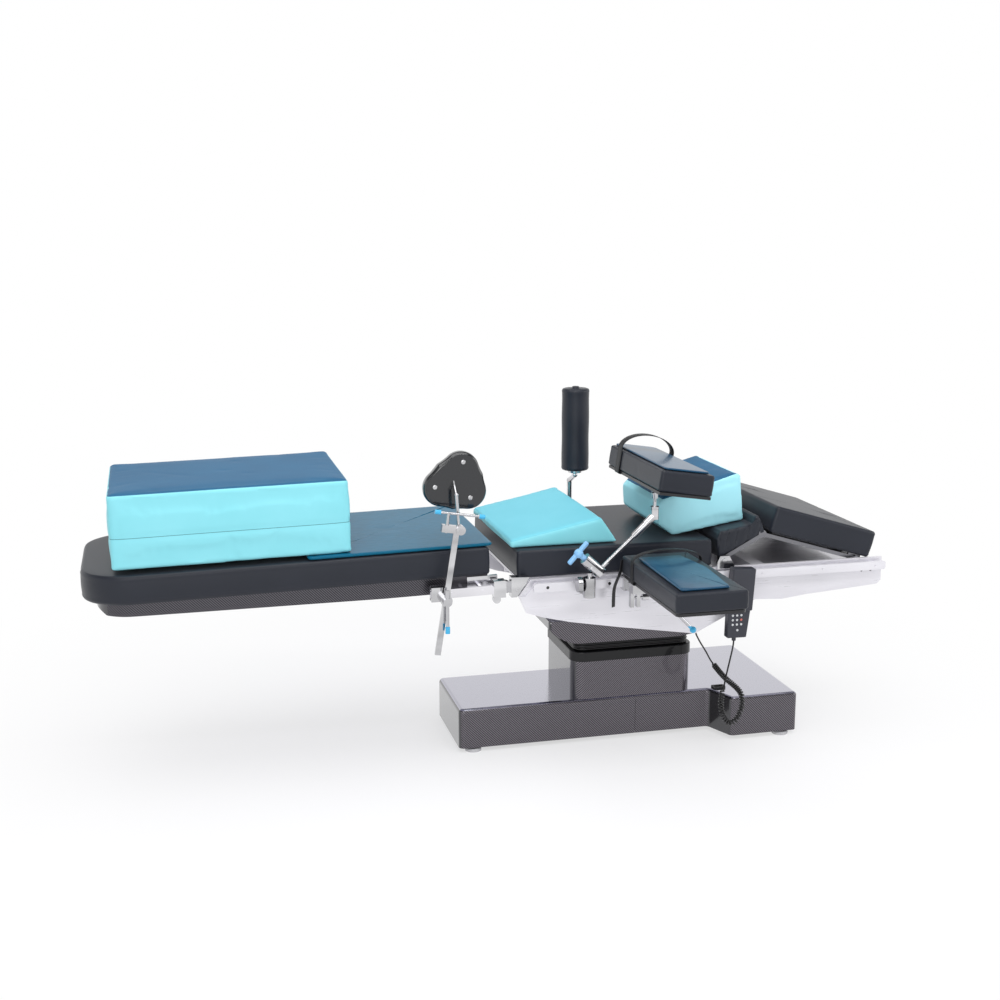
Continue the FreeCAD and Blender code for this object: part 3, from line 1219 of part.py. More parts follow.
def back_roller():
    roller = Part.makeCylinder(BACK_ROLLER_R, BACK_ROLLER_LENGTH, V(BACK_X, BACK_ROLLER_Y, BACK_ROLLER_BOTTOM))
    roller = round_edges(roller, 6, lambda e: e.Length > 200 and len(e.Vertexes) == 1)
    cap = Part.makeCylinder(9, 8, V(BACK_X, BACK_ROLLER_Y, BACK_ROLLER_BOTTOM + BACK_ROLLER_LENGTH - 1))
    bore = Part.makeCylinder(BACK_POST_R + RUN, BACK_ROLLER_LENGTH - 19 + FIT,
                             V(BACK_X, BACK_ROLLER_Y, BACK_ROLLER_BOTTOM - 1))
    return fused(roller, cap).cut(bore)


def make_back_support():
    save("back_clamp", back_clamp())
    save("back_post", back_post())
    save("back_roller", back_roller())


# Hand control


def handset():
    """Pendant with a keypad grip, a thicker battery box above it and a hook over the side rail."""
    x = HANDSET_X
    y1 = -RAIL_Y - RAIL_THICK - 2
    y0 = y1 - HANDSET_THICK
    grip = plate_xz([(217, HANDSET_BOTTOM), (276, HANDSET_BOTTOM - 1), (288, 436), (219, 436)], y0, y1 - 1)
    case = plate_xz([(220, 424), (290, 424), (298, HANDSET_TOP - 4), (229, HANDSET_TOP)],
                    y0 - HANDSET_STEP, y1)
    grip = round_edges(grip, 4, lambda e: True)
    case = round_edges(case, 4, lambda e: True)
    top = RAIL_BOTTOM + RAIL_HEIGHT
    hook = box(x + 22, x + 50, y1 - 2, -RAIL_Y + 6, top + FIT, top + 6)
    lip = box(x + 22, x + 50, -RAIL_Y + FIT, -RAIL_Y + 6, top - 14, top + 6)
    gland = rod(6, (243, y0 + 14, HANDSET_BOTTOM - 11), (243, y0 + 14, HANDSET_BOTTOM + 8))
    return fused(case, grip, hook, lip, gland)


def cord_tube(route, radius):
    """Straight runs joined by tangent arcs that are as large as their runs allow."""
    points = [V(*p) for p in route]
    edges = []
    start = points[0]
    for a, b, c in zip(points, points[1:], points[2:]):
        u, w = (b - a), (c - b)
        turn = u.getAngle(w)
        reach = 0.45 * min(u.Length, w.Length)
        u.normalize()
        w.normalize()
        t0, t1 = b - u * reach, b + w * reach
        bend = reach / math.tan(turn / 2)
        inward = w - u
        inward.normalize()
        middle = b + inward * (bend / math.cos(turn / 2) - bend)
        edges.append(Part.LineSegment(start, t0).toShape())
        edges.append(Part.Arc(t0, middle, t1).toShape())
        start = t1
    edges.append(Part.LineSegment(start, points[-1]).toShape())
    path = Part.Wire(edges)
    disc = Part.Wire(Part.makeCircle(radius, points[0], points[1] - points[0]))
    return path.makePipeShell([disc], True, False)


def make_handset():
    save("handset", handset())
    save("handset_cord_lead", cord_tube(CORD_LEAD, CORD_R))
    save("handset_cord_coil", cord_tube(CORD_COIL, COIL_R))
    save("handset_cord_tail", cord_tube(CORD_TAIL, CORD_R))


make_stand()
make_column()
make_frame()
make_bridge()
make_leg()
make_cushions()
make_pelvic_support()
make_upper_arm_support()
make_lower_arm_board()
make_back_support()
make_handset()
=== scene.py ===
# %% [markdown]
# # An operating table, dressed for its portrait
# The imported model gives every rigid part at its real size. This script adds what the metal
# can't show by itself: finishes, padded covers, straps, the curly cord and small fasteners.

# %% The frame
import math
import bmesh
import bpy
import numpy as np
from mathutils import Matrix, Vector


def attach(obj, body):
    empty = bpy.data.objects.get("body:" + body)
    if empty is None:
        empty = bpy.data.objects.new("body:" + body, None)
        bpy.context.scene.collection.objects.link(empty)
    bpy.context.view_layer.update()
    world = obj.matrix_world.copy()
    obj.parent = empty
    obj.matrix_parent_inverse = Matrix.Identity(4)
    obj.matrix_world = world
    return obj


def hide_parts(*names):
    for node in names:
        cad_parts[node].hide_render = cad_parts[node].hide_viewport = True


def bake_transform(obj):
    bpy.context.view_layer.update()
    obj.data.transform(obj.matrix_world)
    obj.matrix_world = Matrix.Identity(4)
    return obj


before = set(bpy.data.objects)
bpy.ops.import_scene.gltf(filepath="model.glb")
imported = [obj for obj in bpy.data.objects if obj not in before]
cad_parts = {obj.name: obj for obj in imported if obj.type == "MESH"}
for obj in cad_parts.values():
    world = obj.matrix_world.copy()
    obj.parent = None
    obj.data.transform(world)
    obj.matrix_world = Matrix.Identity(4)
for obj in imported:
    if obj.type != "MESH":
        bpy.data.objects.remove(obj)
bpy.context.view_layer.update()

MM = 0.001
BEYOND = 9.0                   # metres, past the table's ends: a limit that nothing reaches

# %% [markdown]
# ## The camera
# The photograph was taken from beside the table, towards its foot end and from a little above the
# cushions. The camera goes first, because every later choice is compared through it.

# %% The camera
CAMERA_PLACE = (-1.35128, -3.92422, 1.55105)
CAMERA_YAW = -14.0189          # degrees, turned to the right
CAMERA_PITCH = -11.6817        # degrees, tipped down
CAMERA_ROLL = -0.0685
CAMERA_LENS = 50.64            # millimetres on a 36 mm sensor


def set_camera():
    """Place the camera: aim along the view direction, then roll about it."""
    data = bpy.data.cameras.new("portrait_camera")
    data.lens = CAMERA_LENS
    data.sensor_width = 36
    data.clip_end = 60
    camera = bpy.data.objects.new("portrait_camera", data)
    yaw, pitch = math.radians(CAMERA_YAW), math.radians(CAMERA_PITCH)
    view = Vector((-math.sin(yaw) * math.cos(pitch), math.cos(yaw) * math.cos(pitch), math.sin(pitch)))
    roll = Matrix.Rotation(math.radians(CAMERA_ROLL), 3, "Z").to_quaternion()
    aim = view.to_track_quat("-Z", "Y") @ roll
    camera.matrix_world = Matrix.Translation(CAMERA_PLACE) @ aim.to_matrix().to_4x4()
    bpy.context.scene.collection.objects.link(camera)
    bpy.context.scene.camera = camera
    return camera


print("camera", set_camera().location)

# %% [markdown]
# ## Surfaces on a grid
# Every new piece is a surface worked out with numpy: a function of two parameters, or a
# profile carried along a path. One helper turns such a grid of points into a mesh.

# %% Grid to mesh


def mesh_object(name, points, faces):
    data = bpy.data.meshes.new(name)
    data.from_pydata(points.tolist(), [], faces.tolist())
    data.update()
    piece = bpy.data.objects.new(name, data)
    bpy.context.scene.collection.objects.link(piece)
    return piece


def grid_faces(rows, columns, wrap_rows):
    """Quads between neighbours on the grid: columns join round, rows only where they are to wrap."""
    i = np.arange(rows if wrap_rows else rows - 1)
    j = np.arange(columns)
    i, j = [part.ravel() for part in np.meshgrid(i, j, indexing="ij")]
    up, across = (i + 1) % rows, (j + 1) % columns
    return np.stack([i * columns + j, up * columns + j, up * columns + across, i * columns + across], axis=1)


def tidy(piece):
    """Merge the doubled points at poles and turn all faces outwards."""
    work = bmesh.new()
    work.from_mesh(piece.data)
    bmesh.ops.remove_doubles(work, verts=work.verts, dist=1e-6)
    bmesh.ops.dissolve_degenerate(work, edges=work.edges, dist=1e-7)
    bmesh.ops.recalc_face_normals(work, faces=work.faces)
    work.to_mesh(piece.data)
    work.free()
    piece.data.polygons.foreach_set("use_smooth", np.ones(len(piece.data.polygons), dtype=bool))
    piece.data.update()
    return piece


def surface(name, grid, wrap_rows=False):
    """A mesh from a grid of points in millimetres, rows by columns by three."""
    rows, columns = grid.shape[:2]
    faces = grid_faces(rows, columns, wrap_rows)
    return tidy(mesh_object(name, grid.reshape(-1, 3) * MM, faces))


def joined(name, pieces):
    """Several small pieces as one object, for repeated fasteners."""
    points, faces, start = [], [], 0
    for piece in pieces:
        points += [tuple(v.co) for v in piece.data.vertices]
        faces += [[start + i for i in p.vertices] for p in piece.data.polygons]
        start = len(points)
        bpy.data.objects.remove(piece)
    data = bpy.data.meshes.new(name)
    data.from_pydata(points, [], faces)
    data.polygons.foreach_set("use_smooth", np.ones(len(faces), dtype=bool))
    data.update()
    whole = bpy.data.objects.new(name, data)
    bpy.context.scene.collection.objects.link(whole)
    return whole


# %% [markdown]
# ## Shader maths as Python
# A finish is easier to read as an expression than as a web of nodes. One small class wraps a
# socket, so that sums and products of sockets add their own Math nodes.

# %% Shader expressions


class Signal:
    """A shader socket that takes part in Python arithmetic."""

    def __init__(self, network, socket):
        self.network = network
        self.socket = socket

    def _math(self, operation, first, second=None):
        inputs = [first] if second is None else [first, second]
        return self.network.node("ShaderNodeMath", {"operation": operation}, inputs)

    def __add__(self, other):
        return self._math("ADD", self, other)

    def __radd__(self, other):
        return self._math("ADD", other, self)

    def __sub__(self, other):
        return self._math("SUBTRACT", self, other)

    def __rsub__(self, other):
        return self._math("SUBTRACT", other, self)

    def __mul__(self, other):
        return self._math("MULTIPLY", self, other)

    def __rmul__(self, other):
        return self._math("MULTIPLY", other, self)

    def __truediv__(self, other):
        return self._math("DIVIDE", self, other)

    def __mod__(self, other):
        return self._math("FLOORED_MODULO", self, other)

    def __pow__(self, other):
        return self._math("POWER", self, other)

    def __lt__(self, other):
        return self._math("LESS_THAN", self, other)

    def __gt__(self, other):
        return self._math("GREATER_THAN", self, other)

    def __abs__(self):
        return self._math("ABSOLUTE", self)

    def floor(self):
        return self._math("FLOOR", self)

    def sine(self):
        return self._math("SINE", self)


class Network:
    """A tree of shader nodes under construction."""

    def __init__(self, tree):
        self.tree = tree

    def node(self, kind, settings, inputs, output=0):
        """Add a node: its settings first, then a value or a link for each input."""
        made = self.tree.nodes.new(kind)
        for key, value in settings.items():
            setattr(made, key, value)
        keyed = inputs.items() if isinstance(inputs, dict) else enumerate(inputs)
        for key, value in keyed:
            if isinstance(value, Signal):
                self.tree.links.new(value.socket, made.inputs[key])
            else:
                made.inputs[key].default_value = value
        return Signal(self, made.outputs[output])


class Finish(Network):
    """A material under construction, around one Principled shader."""

    def __init__(self, name, color, roughness, metallic=0.0, coat=0.0, coat_roughness=0.1, sheen=0.0,
                 specular=0.5, coat_ior=1.5):
        self.material = bpy.data.materials.new(name)
        self.material.use_nodes = True
        super().__init__(self.material.node_tree)
        self.shader = self.tree.nodes["Principled BSDF"]
        settings = {"Base Color": (*color, 1), "Roughness": roughness, "Metallic": metallic,
                    "Coat Weight": coat, "Coat Roughness": coat_roughness, "Sheen Weight": sheen,
                    "Specular IOR Level": specular, "Coat IOR": coat_ior}
        for socket, value in settings.items():
            self.shader.inputs[socket].default_value = value
        self.material.diffuse_color = (*color, 1)

    def place(self):
        """The three Object coordinates, in metres of the table's own frame."""
        where = self.node("ShaderNodeTexCoord", {}, {}, "Object")
        return [self.node("ShaderNodeSeparateXYZ", {}, [where], k) for k in range(3)]

    def facing(self):
        """The three parts of the surface's normal, without their signs."""
        normal = self.node("ShaderNodeNewGeometry", {}, {}, "Normal")
        return [abs(self.node("ShaderNodeSeparateXYZ", {}, [normal], k)) for k in range(3)]

    def noise(self, scale, detail=2.0, roughness=0.5, stretch=(1, 1, 1)):
        where = self.node("ShaderNodeTexCoord", {}, {}, "Object")
        spread = self.node("ShaderNodeMapping", {}, {"Vector": where, "Scale": stretch})
        return self.node("ShaderNodeTexNoise", {},
                         {"Vector": spread, "Scale": scale, "Detail": detail, "Roughness": roughness})

    def blend(self, mask, first, second):
        """One colour where the mask is 0, the other where it is 1."""
        colors = [value if isinstance(value, Signal) else (*value, 1) for value in (first, second)]
        inputs = {0: mask, 6: colors[0], 7: colors[1]}
        return self.node("ShaderNodeMix", {"data_type": "RGBA"}, inputs, 2)

    def color(self, signal):
        self.tree.links.new(signal.socket, self.shader.inputs["Base Color"])
        return self

    def drive(self, socket, signal):
        self.tree.links.new(signal.socket, self.shader.inputs[socket])
        return self

    def bump(self, height, strength, distance):
        """Raise the surface by a height signal, in metres of distance."""
        settings = {"Strength": strength, "Distance": distance, "Height": height}
        raised = self.node("ShaderNodeBump", {}, settings)
        self.tree.links.new(raised.socket, self.shader.inputs["Normal"])
        return self


# %% [markdown]
# ## Finishes
# The casings are woven carbon under a clear coat: a two-by-two twill of flat tows that catch the
# light in turns. The weave is worked out from the place and the facing of the surface, so it needs
# no unwrapping and meets at the corners as laid cloth does.

# %% Carbon twill
TOW = 0.0018                   # metres, the width of one carbon tow
CARBON_LOW = (0.002, 0.002, 0.002)
CARBON_HIGH = (0.20, 0.185, 0.21)
# Painted reflection: the tops are a pale lavender painted reflection of the room, the ends a darker painted
# reflection of the shaded floor.
CARBON_TOP_PAINTED_REFLECTION = (0.40, 0.395, 0.475)
CARBON_END_PAINTED_REFLECTION = (0.06, 0.06, 0.065)
LEG_HIGH = (0.13, 0.125, 0.145)
TRIM = (0.004, 0.004, 0.005)
TRIM_HEIGHT = 0.2478           # metres, where the column casing's black trim begins


def carbon_finish(name, lean=1, trim_from=BEYOND, high=CARBON_HIGH):
    """Two-by-two twill: at each crossing the upper tow is chosen by the sum of the cell numbers.

    The tows shine like metal. Tops and ends show no cloth but painted reflection: a pale lavender
    painted reflection of the room on the tops, and a darker painted reflection of the shaded floor on
    the ends; the long sides show the cloth. Above the height trim_from the cloth gives way to a plain
    black trim.
    """
    finish = Finish(name, CARBON_HIGH, 0.34, coat=1.0, coat_roughness=0.04, specular=0.15)
    x, y, z = finish.place()
    nx, ny, nz = finish.facing()
    top = nz > 0.7
    end = (nx > 0.7) * (1 - top)
    front = 1 - top - end
    u = x * (top + front) + y * end
    v = y * top + z * (front + end)
    column, row = u / TOW, v / TOW
    warp = ((column.floor() + row.floor() * lean) % 4) < 2
    arch_u = ((column % 1) * math.pi).sine()
    arch_v = ((row % 1) * math.pi).sine()
    arch = arch_u * warp + arch_v * (1 - warp)
    shine = warp * 0.7 + arch * 0.3
    trim = z > trim_from
    mirror = (top + end) * (1 - trim)
    cloth = finish.blend(shine, CARBON_LOW, high)
    # Painted reflection in place of the cloth: pale on the tops, darker on the ends.
    cloth_and_painted_reflection = finish.blend(mirror, cloth, finish.blend(end, CARBON_TOP_PAINTED_REFLECTION, CARBON_END_PAINTED_REFLECTION))
    finish.color(finish.blend(trim, cloth_and_painted_reflection, TRIM))
    finish.drive("Metallic", 1 - trim)
    finish.drive("Roughness", 0.34 - mirror * 0.20)
    finish.drive("Coat Weight", mirror * 0.6 + 0.4)
    finish.bump(arch * (1 - trim), 0.12, 0.0002)
    return finish.material


CARBON = carbon_finish("woven_carbon")
COLUMN_CARBON = carbon_finish("column_carbon", -1, TRIM_HEIGHT)
LEG_CARBON = carbon_finish("leg_panel_carbon", high=LEG_HIGH)

# %% [markdown]
# Polished and brushed stainless differ only in their scratches: long fine lines along the rail,
# drawn as noise that is stretched along X. Slow bands of shade stand for the room that polished
# plates reflect.

# %% Metals


def steel_finish(name, color, roughness, grain, depth, band=0.25, metallic=1.0):
    """Bare metal: fine lines in the roughness, and wide soft bands of painted reflection in a darker steel
    colour.
    """
    finish = Finish(name, color, roughness, metallic=metallic)
    lines = finish.noise(220, 3.0, 0.6, grain)
    bands = finish.noise(7, 2.0, 0.5, (0.5, 1, 2.2))
    darker = tuple(part * (1 - band) for part in color)
    # Painted reflection: the soft bands darken the steel colour where the room reflected in it is darker.
    finish.color(finish.blend(bands * 2.4 - 0.7, darker, color))
    finish.drive("Roughness", lines * 0.16 + (roughness - 0.08))
    finish.bump(lines, depth, 0.0002)
    return finish


def capped(name, axis, low, high, cap, roughness=0.3):
    """Chrome with a plain cap at each end: told apart by the place along an axis."""
    finish = steel_finish(name, (0.60, 0.60, 0.62), 0.12, (1, 1, 1), 0.05)
    x, y, z = finish.place()
    along = x * axis[0] + y * axis[1] + z * axis[2]
    ends = (along < low) + (along > high)
    steel = finish.shader.inputs["Base Color"].links[0].from_socket
    finish.color(finish.blend(ends, Signal(finish, steel), cap))
    finish.drive("Metallic", 1 - ends)
    finish.drive("Roughness", ends * (roughness - 0.12) + 0.12)
    return finish.material


STREAKED = (0.02, 1, 1)        # a grain drawn out along X
EVEN = (1, 1, 1)
POLISHED = steel_finish("polished_stainless", (0.83, 0.82, 0.86), 0.15, (0.03, 1, 1), 0.10).material
BRUSHED = steel_finish("brushed_stainless", (0.56, 0.56, 0.58), 0.32, STREAKED, 0.3).material
SATIN = steel_finish("satin_chrome", (0.74, 0.74, 0.76), 0.12, EVEN, 0.05, 0.5).material
PLATE = steel_finish("brushed_plate", (0.80, 0.79, 0.84), 0.30, (0.03, 1, 1), 0.10, 0.15, 0.4).material
BRIDGE_STEEL = steel_finish("bridge_steel", (0.24, 0.24, 0.26), 0.32, STREAKED, 0.2).material

SKY_BLUE = (0.05, 0.42, 0.72)
BOARD_BLACK = (0.012, 0.012, 0.015)
ARM_BLACK = (0.010, 0.011, 0.014)
UP = (0, 0, 1)
ACROSS = (0, 1, 0)
SCREW_LEAN = math.radians(9.1)
SCREW_AXIS = (math.cos(SCREW_LEAN), 0, -math.sin(SCREW_LEAN))
UPPER_LEAN = math.radians(8.5)
UPPER_AXIS = (math.sin(UPPER_LEAN), 0, math.cos(UPPER_LEAN))
SCREW_CHROME = capped("capped_screw", SCREW_AXIS, -0.7267, -0.6207, SKY_BLUE)
LEVER_CHROME = capped("capped_lever", UP, 0.4455, BEYOND, SKY_BLUE)
BOARD_LEVER = capped("board_lever", UP, 0.4465, BEYOND, SKY_BLUE)
UPPER_PLATE = capped("upper_board_plate", UPPER_AXIS, -BEYOND, 0.782, BOARD_BLACK)
LOWER_PLATE = capped("lower_board_plate", UP, -BEYOND, 0.5505, BOARD_BLACK)
PLATE_BLACK = capped("pelvic_arm_and_plate", ACROSS, -BEYOND, -0.2535, ARM_BLACK, 0.1)
PLATE_BLACK.node_tree.nodes["Principled BSDF"].inputs["Coat Weight"].default_value = 0.5

# %% [markdown]
# The mattress cover is a polyurethane-coated fabric: nearly black slate, a low sheen and a fine
# leathery grain. The cushions have the same cloth in turquoise.

# %% Coated fabrics


def cover_finish(name, color, shade, roughness, grain, depth):
    """Coated cloth: slow patches of shade, and a fine grain in the bump."""
    finish = Finish(name, color, roughness, sheen=0.04, specular=0.35)
    patches = finish.noise(9, 3.0)
    fine = finish.noise(grain, 4.0, 0.6)
    finish.color(finish.blend(patches, shade, color))
    finish.drive("Roughness", fine * 0.18 + (roughness - 0.09))
    finish.bump(fine, depth, 0.0004)
    return finish


TURQUOISE = ((0.21, 0.63, 0.71), (0.26, 0.69, 0.78))
# Painted shade: the wedge's top is its own turquoise, darker because it lies in shadow.
TURQUOISE_PAINTED_SHADE = ((0.13, 0.50, 0.61), (0.17, 0.56, 0.68))
# Painted light: the head cushion's sides are a paler copy of the turquoise, as if more brightly lit.
TURQUOISE_PAINTED_LIGHT = ((0.34, 0.74, 0.84), (0.40, 0.80, 0.90))
DEEP_BLUE = ((0.004, 0.085, 0.19), (0.008, 0.12, 0.25))
SLATE_LIGHT = (0.0135, 0.0165, 0.0265)
SLATE_DARK = (0.0095, 0.012, 0.0195)
SLATE = cover_finish("slate_cover", SLATE_LIGHT, SLATE_DARK, 0.40, 900, 0.25).material

# %% Gel, plastic and rubber


def gel_finish(name, deep, light, coat):
    """Blue gel in glossy film, with a few soft bubbles of lighter tone."""
    finish = Finish(name, light, 0.3, coat=coat, coat_roughness=0.08, specular=coat)
    finish.color(finish.blend(finish.noise(38, 3.0), deep, light))
    return finish.bump(finish.noise(60, 1.0), 0.3, 0.001).material


def plain_finish(name, color, roughness, depth=0.1, grain=1500, **more):
    """Moulded plastic or rubber: one colour, lightly mottled, with a moulded grain."""
    finish = Finish(name, color, roughness, **more)
    fine = finish.noise(grain, 2.0)
    darker = tuple(0.8 * part for part in color)
    finish.color(finish.blend(finish.noise(30, 2.0), darker, color))
    finish.drive("Roughness", fine * 0.1 + (roughness - 0.05))
    return finish.bump(fine, depth, 0.0002).material


GEL = gel_finish("blue_gel", (0.004, 0.035, 0.085), (0.010, 0.075, 0.15), 0.25)
MAT_GEL = gel_finish("teal_gel", (0.002, 0.085, 0.15), (0.004, 0.12, 0.22), 0.08)
HANDLE_BLUE = plain_finish("handle_blue", (0.24, 0.52, 0.86), 0.3, coat=0.4)
BLACK = plain_finish("matt_black", (0.012, 0.012, 0.013), 0.55)
GLOSS_BLACK = plain_finish("gloss_black", (0.010, 0.011, 0.013), 0.18, coat=0.8)
GAITER = plain_finish("gaiter_black", (0.004, 0.004, 0.005), 0.35)
HANDSET = plain_finish("handset_slate", (0.030, 0.032, 0.045), 0.42)
KEYS = plain_finish("key_white", (0.66, 0.68, 0.70), 0.4)
RED_KEY = plain_finish("key_red", (0.62, 0.16, 0.13), 0.4)
PALE = plain_finish("pale_pad", (0.52, 0.52, 0.54), 0.5)
TYRE = plain_finish("castor_tread", (0.05, 0.05, 0.055), 0.6)
PAINT = plain_finish("chassis_paint", (0.06, 0.06, 0.065), 0.5)
CORD = plain_finish("cord_jacket", (0.004, 0.004, 0.005), 0.3)
WEBBING = plain_finish("strap_webbing", (0.010, 0.010, 0.012), 0.5, 0.4, 700)

# %% [markdown]
# Each node of the CAD gets its finish.

# %% Finishes of the nodes
NODES_BY_FINISH = [
    (CARBON, "base_cover_foot base_cover_head column_shroud"),
    (COLUMN_CARBON, "column_cover"),
    (LEG_CARBON, "leg_panel"),
    (PAINT, "base_chassis"),
    (PALE, "levelling_feet"),
    (TYRE, "castor_wheel_near castor_wheel_far rear_wheels"),
    (BLACK, "cable_outlet"),
    (BRUSHED, "castor_fork_near castor_fork_far column_outer_stage column_middle_stage"),
    (BRUSHED, "column_inner_stage tilt_head tilt_yoke"),
    (PLATE, "cheek_plates side_rails frame_crossbars"),
    (BRIDGE_STEEL, "bridge_a_frame bridge_b_frame"),
    (POLISHED, "leg_rails"),
    (SATIN, "bridge_bearings head_sockets knee_blocks_seat knee_blocks_leg pelvic_clamp pelvic_post"),
    (SATIN, "arm_clamp arm_head arm_rod board_clamp back_clamp back_post"),
    (LEVER_CHROME, "pelvic_lever"),
    (SCREW_CHROME, "pelvic_screw"),
    (PLATE_BLACK, "pelvic_arm"),
    (HANDLE_BLUE, "arm_handle"),
    (UPPER_PLATE, "upper_board"),
    (LOWER_PLATE, "lower_board"),
    (BOARD_LEVER, "lower_lever"),
    (HANDSET, "handset"),
]
for material, node_names in NODES_BY_FINISH:
    for node_name in node_names.split():
        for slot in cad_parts[node_name].material_slots:
            slot.link = "OBJECT"
            slot.material = material
print("finished nodes", sum(len(names.split()) for material, names in NODES_BY_FINISH))

# %% [markdown]
# ## The hand control's cord
# The cord leaves the pendant, runs into a tightly curled length that hangs in a loop, and goes on
# as a thin tail behind the side plate, up into the frame. One route carries all three: its curled
# stretch is a helix about that route, worked out by a formula.

# %% Cord route
CORD_RADIUS = 2.4 * MM
COIL_RADIUS = 9.0 * MM
TIGHT_PITCH = 5.6              # millimetres from one turn to the next, in the upper stretch
OPEN_PITCH = 8.6               # and in the loop, where the cord's own weight pulls it open
FADE_IN = 8.0 * MM             # metres of route over which the coil takes up its radius
CORD_LEAD = [(243, -316, 333.7), (243, -316, 320), (227.5, -326, 271.8), (208.4, -344, 227.1)]
CORD_COIL = [(199.7, -355, 200.8), (189, -365, 184.2), (184, -374, 160.9), (189.2, -381, 130.3),
             (204.7, -383, 108.4), (224.6, -382, 110), (243.6, -377, 133.5), (254.1, -369, 160.6),
             (253.9, -358, 187.6), (239.6, -344, 205.3), (221.2, -326, 220.1), (207, -302, 238.5),
             (197.3, -276, 256.1)]
CORD_TAIL = [(193.5, -265.8, 263.1), (181.7, -260, 288.2), (162, -260, 318.2), (143.5, -260, 353.7),
             (141, -260, 430), (144, -260, 507.7)]


def smooth_route(points):
    """The line of a NURBS curve whose control points are the route's points, in metres."""
    data = bpy.data.curves.new("route", "CURVE")
    data.dimensions = "3D"
    data.resolution_u = 24
    spline = data.splines.new("NURBS")
    spline.points.add(len(points) - 1)
    spline.points.foreach_set("co", np.array([(*(c * MM for c in p), 1) for p in points]).ravel())
    spline.order_u = 3
    spline.use_endpoint_u = True
    holder = bpy.data.objects.new("route", data)
    bpy.context.scene.collection.objects.link(holder)
    line = bpy.data.meshes.new_from_object(holder)
    path = np.array([v.co[:] for v in line.vertices])
    bpy.data.objects.remove(holder)
    return path


def evenly(path, step):
    """The same line with points at equal steps."""
    along = np.concatenate([[0], np.cumsum(np.linalg.norm(np.diff(path, axis=0), axis=1))])
    marks = np.linspace(0, along[-1], max(int(along[-1] / step), 2))
    return np.stack([np.interp(marks, along, path[:, k]) for k in range(3)], axis=1), marks


def frames(path):
    """Two directions across the line at each point, turning as little as they can."""
    tangent = np.gradient(path, axis=0)
    tangent /= np.linalg.norm(tangent, axis=1)[:, None]
    across = np.zeros_like(path)
    seed = np.cross(tangent[0], (0.3, 1.0, 0.2))
    for k, direction in enumerate(tangent):
        seed = seed - direction * seed.dot(direction)
        seed = seed / np.linalg.norm(seed)
        across[k] = seed
    return across, np.cross(tangent, across)


def tube(name, path, radius, around=8):
    """A round tube: a circle carried along the path, its ends drawn in to a point."""
    angle = np.linspace(0, 2 * math.pi, around, endpoint=False)[None, :, None]
    scale = np.concatenate([[0], np.ones(len(path)), [0]])
    centre, one, two = [np.concatenate([a[:1], a, a[-1:]])[:, None] for a in (path, *frames(path))]
    ring = one * np.cos(angle) + two * np.sin(angle)
    grid = centre + ring * (radius * scale)[:, None, None]
    return surface(name, grid / MM)


def nearest(path, point):
    return np.linalg.norm(path - np.array(point) * MM, axis=1).argmin()


def curly_cord():
    """A helix about the middle stretch; its radius grows from nothing and fades to nothing."""
    path, marks = evenly(smooth_route(CORD_LEAD + CORD_COIL + CORD_TAIL), 0.4 * MM)
    start, end = nearest(path, CORD_COIL[0]), nearest(path, CORD_COIL[-1])
    grow = np.clip(np.minimum(marks - marks[start], marks[end] - marks) / FADE_IN, 0, 1)
    radius = (COIL_RADIUS - CORD_RADIUS) * grow * grow * (3 - 2 * grow)
    stretched = np.clip((marks[nearest(path, CORD_COIL[8])] - marks) / (20 * MM) + 0.5, 0, 1)
    pitch = (TIGHT_PITCH + (OPEN_PITCH - TIGHT_PITCH) * stretched) * MM
    angle = np.cumsum(2 * math.pi * np.gradient(marks) / pitch * grow)
    one, two = frames(path)
    wound = path + radius[:, None] * (np.cos(angle)[:, None] * one + np.sin(angle)[:, None] * two)
    wound, steps = evenly(wound, 2.4 * MM)
    piece = tube("hand_control_cord", wound, CORD_RADIUS)
    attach(piece, "table_frame")
    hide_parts("handset_cord_lead", "handset_cord_coil", "handset_cord_tail")
    print("cord", round(steps[-1], 3), "m")
    return piece


cord = curly_cord()
cord.data.materials.append(CORD)

# %% [markdown]
# ## Padded covers
# A pad is a closed form over an outline: rounded edges, sides that belly out a little between the
# seams, a crowned top, welts along the seams, and shallow creases where the foam has been pressed.

# %% Outlines


def rounded_outline(corners, radii, step=7.0):
    """A closed outline with an arc of its own radius at each corner, in even steps."""
    corners = np.array(corners, float)
    pieces = []
    for k, corner in enumerate(corners):
        before, after = corners[k - 1] - corner, corners[(k + 1) % len(corners)] - corner
        before, after = before / np.linalg.norm(before), after / np.linalg.norm(after)
        half = math.acos(np.clip(before.dot(after), -1, 1)) / 2
        radius = radii[k] if hasattr(radii, "__len__") else radii
        reach = radius / math.tan(half)
        middle = before + after
        centre = corner + middle / np.linalg.norm(middle) * radius / math.sin(half)
        first, last = corner + before * reach - centre, corner + after * reach - centre
        sweep = math.acos(np.clip(first.dot(last) / radius ** 2, -1, 1))
        share = np.linspace(0, 1, max(int(sweep * radius / step * 2), 4))[:, None]
        arc = first * np.sin((1 - share) * sweep) + last * np.sin(share * sweep)
        pieces.append(centre + arc / math.sin(sweep))
    ring = np.concatenate(pieces + [pieces[0][:1]])
    along = np.concatenate([[0], np.cumsum(np.linalg.norm(np.diff(ring, axis=0), axis=1))])
    marks = np.linspace(0, along[-1], int(along[-1] / step), endpoint=False)
    marks = np.unique(np.concatenate([marks, along[:-1]]))
    keep = np.concatenate([[True], np.diff(marks) > 0.4])
    return np.stack([np.interp(marks[keep], along, ring[:, k]) for k in range(2)], axis=1)


def rectangle(left, right, near, far, radii, step):
    """The outline of a rectangle with rounded corners."""
    return rounded_outline([(left, near), (right, near), (right, far), (left, far)], radii, step)


